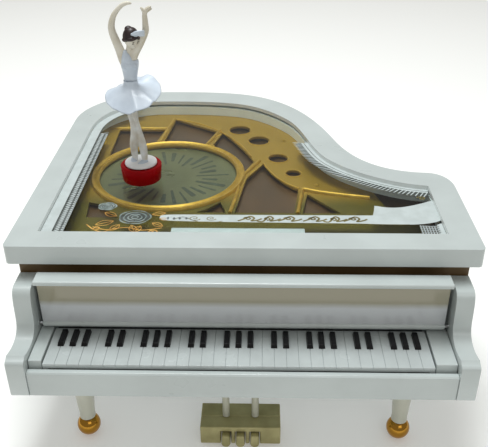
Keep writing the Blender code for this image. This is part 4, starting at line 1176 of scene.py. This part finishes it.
def make_figure_legs():
    shape = bmesh.new()
    left = [(-2.7, 0.5, 38.5, 1.8), (-3.2, 0.6, 33.0, 1.6), (-2.7, 0.2, 28.6, 1.3), (-2.1, -0.3, 25.2, 1.3),
            (-2.0, -0.3, 20.5, 1.6), (-2.5, 0.0, 16.0, 1.95), (-2.7, 0.3, 11.6, 1.6), (-2.6, 0.4, 8.6, 1.3),
            (-2.8, 0.2, 6.6, 1.15)]
    right = [(-0.9, -0.3, 38.5, 1.8), (-0.9, -0.1, 33.0, 1.6), (-0.8, 0.2, 28.6, 1.2), (-0.3, 0.3, 24.5, 1.3),
             (0.6, 0.3, 19.5, 1.6), (1.4, 0.1, 14.5, 1.9), (1.9, -0.3, 10.5, 1.6), (2.0, -0.7, 8.0, 1.3),
             (1.6, -1.1, 6.4, 1.15)]
    for leg in (left, right):
        add_limb(shape, figure_points(leg))
    moulded("figure_legs_fine", shape, "tights", "figure", voxel=0.2, smooth=5, stands_for=("figure_legs",))
    shape = bmesh.new()
    add_limb(shape, figure_points([(2.4, -0.4, 7.6, 1.5), (1.2, -1.9, 6.6, 1.75), (-0.6, -3.5, 6.1, 1.3),
                                   (-1.8, -4.4, 5.9, 0.6)]))
    add_limb(shape, figure_points([(-3.1, 0.3, 8.4, 1.35), (-3.2, -0.3, 6.8, 1.5), (-3.6, -1.9, 6.1, 1.0),
                                   (-3.8, -3.0, 5.9, 0.5)]))
    add_ball(shape, figure_points([(-0.2, -0.6, 5.7)])[0], (3.6, 2.6, 0.8))
    moulded("figure_shoes", shape, "dress", "figure", voxel=0.2, smooth=5)


def around(table, angle_deg):
    """Smooth periodic value from a table of (angle, value) rows."""
    rows = [(table[-1][0] - 360, table[-1][1])] + list(table) + [(table[0][0] + 360, table[0][1]),
                                                                 (table[1][0] + 360, table[1][1])]
    angle = angle_deg % 360
    for before, after in zip(rows, rows[1:]):
        if before[0] <= angle <= after[0]:
            share = (angle - before[0]) / (after[0] - before[0])
            share = share * share * (3 - 2 * share)
            return before[1] + (after[1] - before[1]) * share
    return rows[0][1]


def make_tutu():
    """A stiff net skirt: steep at the hips, then a wide rippled brim, higher at the back right."""
    upper = spline_points([(3.05, 46.2, 0), (3.2, 44.9, 0), (3.7, 43.7, 0.02), (5.0, 43.0, 0.12),
                           (7.0, 42.6, 0.36), (9.2, 42.1, 0.65), (TUTU_R, BRIM_H, 1)], 5)
    lower = [(r - 0.02, h - 0.7, t) for r, h, t in upper[::-1]]
    edge = [(TUTU_R + 0.3, 41.05, 1)]
    steps = 180
    shape = bmesh.new()
    rings = []
    for radius, height, share in upper + edge + lower:
        ring = []
        for i in range(steps):
            angle = 2 * math.pi * i / steps
            rim = around(TUTU_EDGE, 360 * i / steps) - BRIM_H
            wave = 0.17 * math.sin(9 * angle + 1.1) + 0.1 * math.sin(17 * angle)
            reach = radius * (1 + share * (0.012 * math.sin(9 * angle + 2.2) + 0.02 * math.sin(4 * angle)))
            ring.append(shape.verts.new((DOLL_X - 1.5 + 0.8 * share + reach * math.cos(angle),
                                         DOLL_Y + reach * math.sin(angle),
                                         LID_TOP + height + rim * share + wave * max(0.0, share) ** 1.3)))
        rings.append(ring)
    join_rings(shape, rings + rings[:1])
    place("tutu_fine", shape, "dress", "figure", ("tutu",), smooth_deg=None)


def add_tube(shape, sections, sides=40):
    """Add a closed tube from (x, y, z, half width, half depth) sections."""
    rings = []
    for x, y, z, wide, deep in spline_points(sections, 5):
        rings.append([shape.verts.new((x + wide * math.cos(2 * math.pi * k / sides),
                                       y + deep * math.sin(2 * math.pi * k / sides), z))
                      for k in range(sides)])
    join_rings(shape, rings)
    shape.faces.new(rings[0])
    shape.faces.new(rings[-1])


def make_torso():
    shape = bmesh.new()
    add_tube(shape, figure_points([(-1.5, 0.3, 37.0, 2.9, 2.6), (-1.5, 0.2, 41.0, 3.3, 2.8),
                                   (-1.5, 0.1, 43.6, 3.2, 2.6),
                                   (-1.4, 0, 46.6, 2.95, 2.2), (-1.3, -0.1, 49.6, 3.3, 2.45),
                                   (-1.2, -0.2, 52.2, 3.8, 2.8), (-1.2, -0.1, 54.2, 4.0, 2.6),
                                   (-1.2, 0.1, 55.2, 3.9, 2.3)]))
    for side in (-1, 1):
        add_ball(shape, figure_points([(-1.2 + side * 1.8, -1.5, 52.8)])[0], (1.8, 1.6, 1.8))
    for strap in (((-3.2, -1.3, 54.0, 1.4), (-3.0, -1.3, 56.6, 1.3), (-2.5, -0.7, 59.2, 0.9)),
                  ((-1.2, -1.4, 54.0, 1.7), (-1.3, -1.3, 56.0, 1.4), (-1.8, -0.8, 58.0, 0.9))):
        add_limb(shape, figure_points(strap))
    moulded("figure_bodice", shape, "dress", "figure", voxel=0.22, smooth=4)

    shape = bmesh.new()
    add_tube(shape, figure_points([(-1.3, 0.2, 52.6, 3.1, 1.9), (-1.3, 0.1, 55.0, 3.4, 2.0),
                                   (-1.2, 0.2, 57.2, 3.3, 1.8),
                                   (-1.0, 0.3, 58.8, 2.2, 1.5), (-0.9, 0.1, 60.2, 1.25, 1.25),
                                   (-0.7, -0.2, 62.6, 1.2, 1.2)]))
    add_limb(shape, figure_points([(-3.2, 0.2, 51.5, 1.5), (-4.0, 0.1, 55.4, 2.0), (-5.0, 0.0, 59.6, 1.95),
                                   (-6.3, -0.2, 63.6, 1.8), (-7.4, -0.4, 67.6, 1.6), (-7.3, -0.8, 70.6, 1.45),
                                   (-5.9, -1.2, 74.4, 1.2), (-3.4, -1.6, 77.5, 0.98),
                                   (-1.5, -1.8, 79.0, 0.95),
                                   (0.5, -1.9, 79.6, 0.8), (1.9, -1.9, 79.4, 0.45)]))
    add_limb(shape, figure_points([(0.4, 0.2, 54.4, 1.5), (1.2, 0.3, 57.6, 1.8), (3.9, 0.2, 62.4, 1.8),
                                   (6.6, -0.1, 67.4, 1.5), (6.9, -0.5, 70.8, 1.3), (6.9, -0.7, 74.0, 1.1),
                                   (7.2, -0.8, 75.6, 1.05), (8.3, -0.9, 76.9, 1.0), (9.6, -1.0, 77.9, 0.55)]))
    add_limb(shape, figure_points([(7.1, -0.8, 75.2, 0.95), (6.3, -1.3, 76.8, 0.7), (5.6, -1.5, 77.7, 0.4)]))
    add_limb(shape, figure_points([(7.6, -0.9, 75.8, 0.7), (8.6, -0.6, 76.3, 0.6), (10.0, -0.6, 77.0, 0.35)]))
    moulded("figure_arms", shape, "skin", "figure", voxel=0.2, smooth=5, stands_for=("figure_body",))


def make_head():
    towards = FACE_TOWARDS
    side = towards.cross(Vector((0, 0, 1))).normalized()
    up = side.cross(towards).normalized()

    def spot(out, right, high):
        return HEAD_AT + towards * out + side * right + up * high

    shape = bmesh.new()
    add_ball(shape, HEAD_AT, (3.1, 3.2, 3.7), (0, 12, 0), 28)
    add_ball(shape, spot(0.9, 0, -1.6), (2.2, 2.2, 2.3))
    add_ball(shape, spot(1.5, 0, -3.2), (1.05, 1.05, 0.8))
    add_limb(shape, [(*spot(3.0, 0, 0.9), 0.3), (*spot(3.45, 0, -0.1), 0.36), (*spot(3.75, 0, -0.75), 0.5)])
    for right in (-1, 1):
        add_ball(shape, spot(1.9, right * 1.45, -1.1), (1.1, 1.1, 1.0))
        add_ball(shape, spot(-0.3, right * 3.05, -0.5), (0.5, 0.6, 0.85))
    moulded("figure_head_fine", shape, "skin", "figure", voxel=0.16, smooth=4, stands_for=("figure_head",))

    shape = bmesh.new()
    crown = HEAD_AT - towards * 0.85 + up * 0.45 + Vector((0, 0, 0.25))
    add_ball(shape, crown, (3.45, 3.55, 3.9), (0, 12, 0), 32)
    for right in (-1, 1):
        add_limb(shape, [(*spot(2.55, 0.2 * right, 2.45), 0.55), (*spot(1.9, 1.8 * right, 1.7), 0.8),
                         (*spot(0.4, 2.9 * right, 0.6), 0.8), (*spot(-1.2, 2.9 * right, -0.8), 0.9),
                         (*spot(-2.6, 1.4 * right, -1.4), 0.8)])
    add_ball(shape, spot(-3.4, 0, 2.4), (1.7, 1.7, 1.5))
    moulded("figure_hair_fine", shape, "hair", "figure", voxel=0.16, smooth=3)

    shape = bmesh.new()
    for right in (-1, 1):
        eye = [spot(3.02 - 0.12 * k * k, right * (1.2 + 0.34 * k), 0.02 - 0.12 * k * k) for k in (-1, 0, 1)]
        add_limb(shape, [(*p, 0.17) for p in eye], sides=8)
        brow = [spot(3.06 - 0.2 * k * k, right * (1.25 + 0.45 * k), 0.85 - 0.14 * k * k) for k in (-1, 0, 1)]
        add_limb(shape, [(*p, 0.1) for p in brow], sides=8)
    place("figure_eyes", shape, "hair", "figure", smooth_deg=None)
    shape = bmesh.new()
    mouth = [spot(2.93 - 0.16 * k * k, 0.42 * k, -1.75 + 0.05 * k * k) for k in (-1, 0, 1)]
    add_limb(shape, [(*p, 0.2 if i == 1 else 0.12) for i, p in enumerate(mouth)], sides=8)
    place("figure_mouth", shape, "lips", "figure", smooth_deg=None)

    shape = bmesh.new()
    knot = spot(1.0, 1.7, 3.9)
    for k in range(5):
        lift = 0.5 * k - 0.9
        add_limb(shape, [(*knot, 0.35), (*(knot + Vector((1.9, -0.6, 0.5 + 0.3 * lift))), 0.6),
                         (*(knot + Vector((3.6, -0.5, 0.3 + 0.8 * lift))), 0.5),
                         (*(knot + Vector((5.4, 0.2, 0.1 + 1.1 * lift))), 0.2)])
    add_limb(shape, [(*spot(2.0, -1.2, 3.5), 0.4), (*spot(2.1, 0.3, 3.6), 0.5), (*spot(1.0, 1.8, 3.9), 0.6)])
    moulded("figure_plume", shape, "dress", "figure", voxel=0.16, smooth=3)


def make_figure():
    make_pedestal()
    make_figure_legs()
    make_tutu()
    make_torso()
    make_head()


MATERIALS = make_materials()


def main():
    make_camera()
    make_stage()
    make_case()
    make_lid()
    make_key_surround()
    make_keys()
    make_fallboard()
    make_legs()
    make_lyre()
    make_decor()
    make_print()
    make_figure()
    finish_cad_nodes()


NODE_SKINS = {
    "keybed": "white", "magnet_arm": "white",
    "movement_bedplate": "brass", "spring_barrel": "brass", "music_cylinder": "brass",
    "governor_bracket": "brass", "comb": "steel", "governor_worm": "steel", "winding_arbor": "steel",
    "winding_key": "steel", "arm_magnet": "magnet", "base_magnet": "magnet",
}


def finish_cad_nodes():
    """Give the CAD nodes that stay their procedural material and soft edges."""
    for name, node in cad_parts.items():
        if node.hide_render:
            continue
        skin = NODE_SKINS.get(name)
        if skin is None:
            skin = "gold" if name.startswith("plate_screw") else "steel"
        node.data.materials.clear()
        node.data.materials.append(MATERIALS[skin])
        soften(node, 0.12, 2)


main()
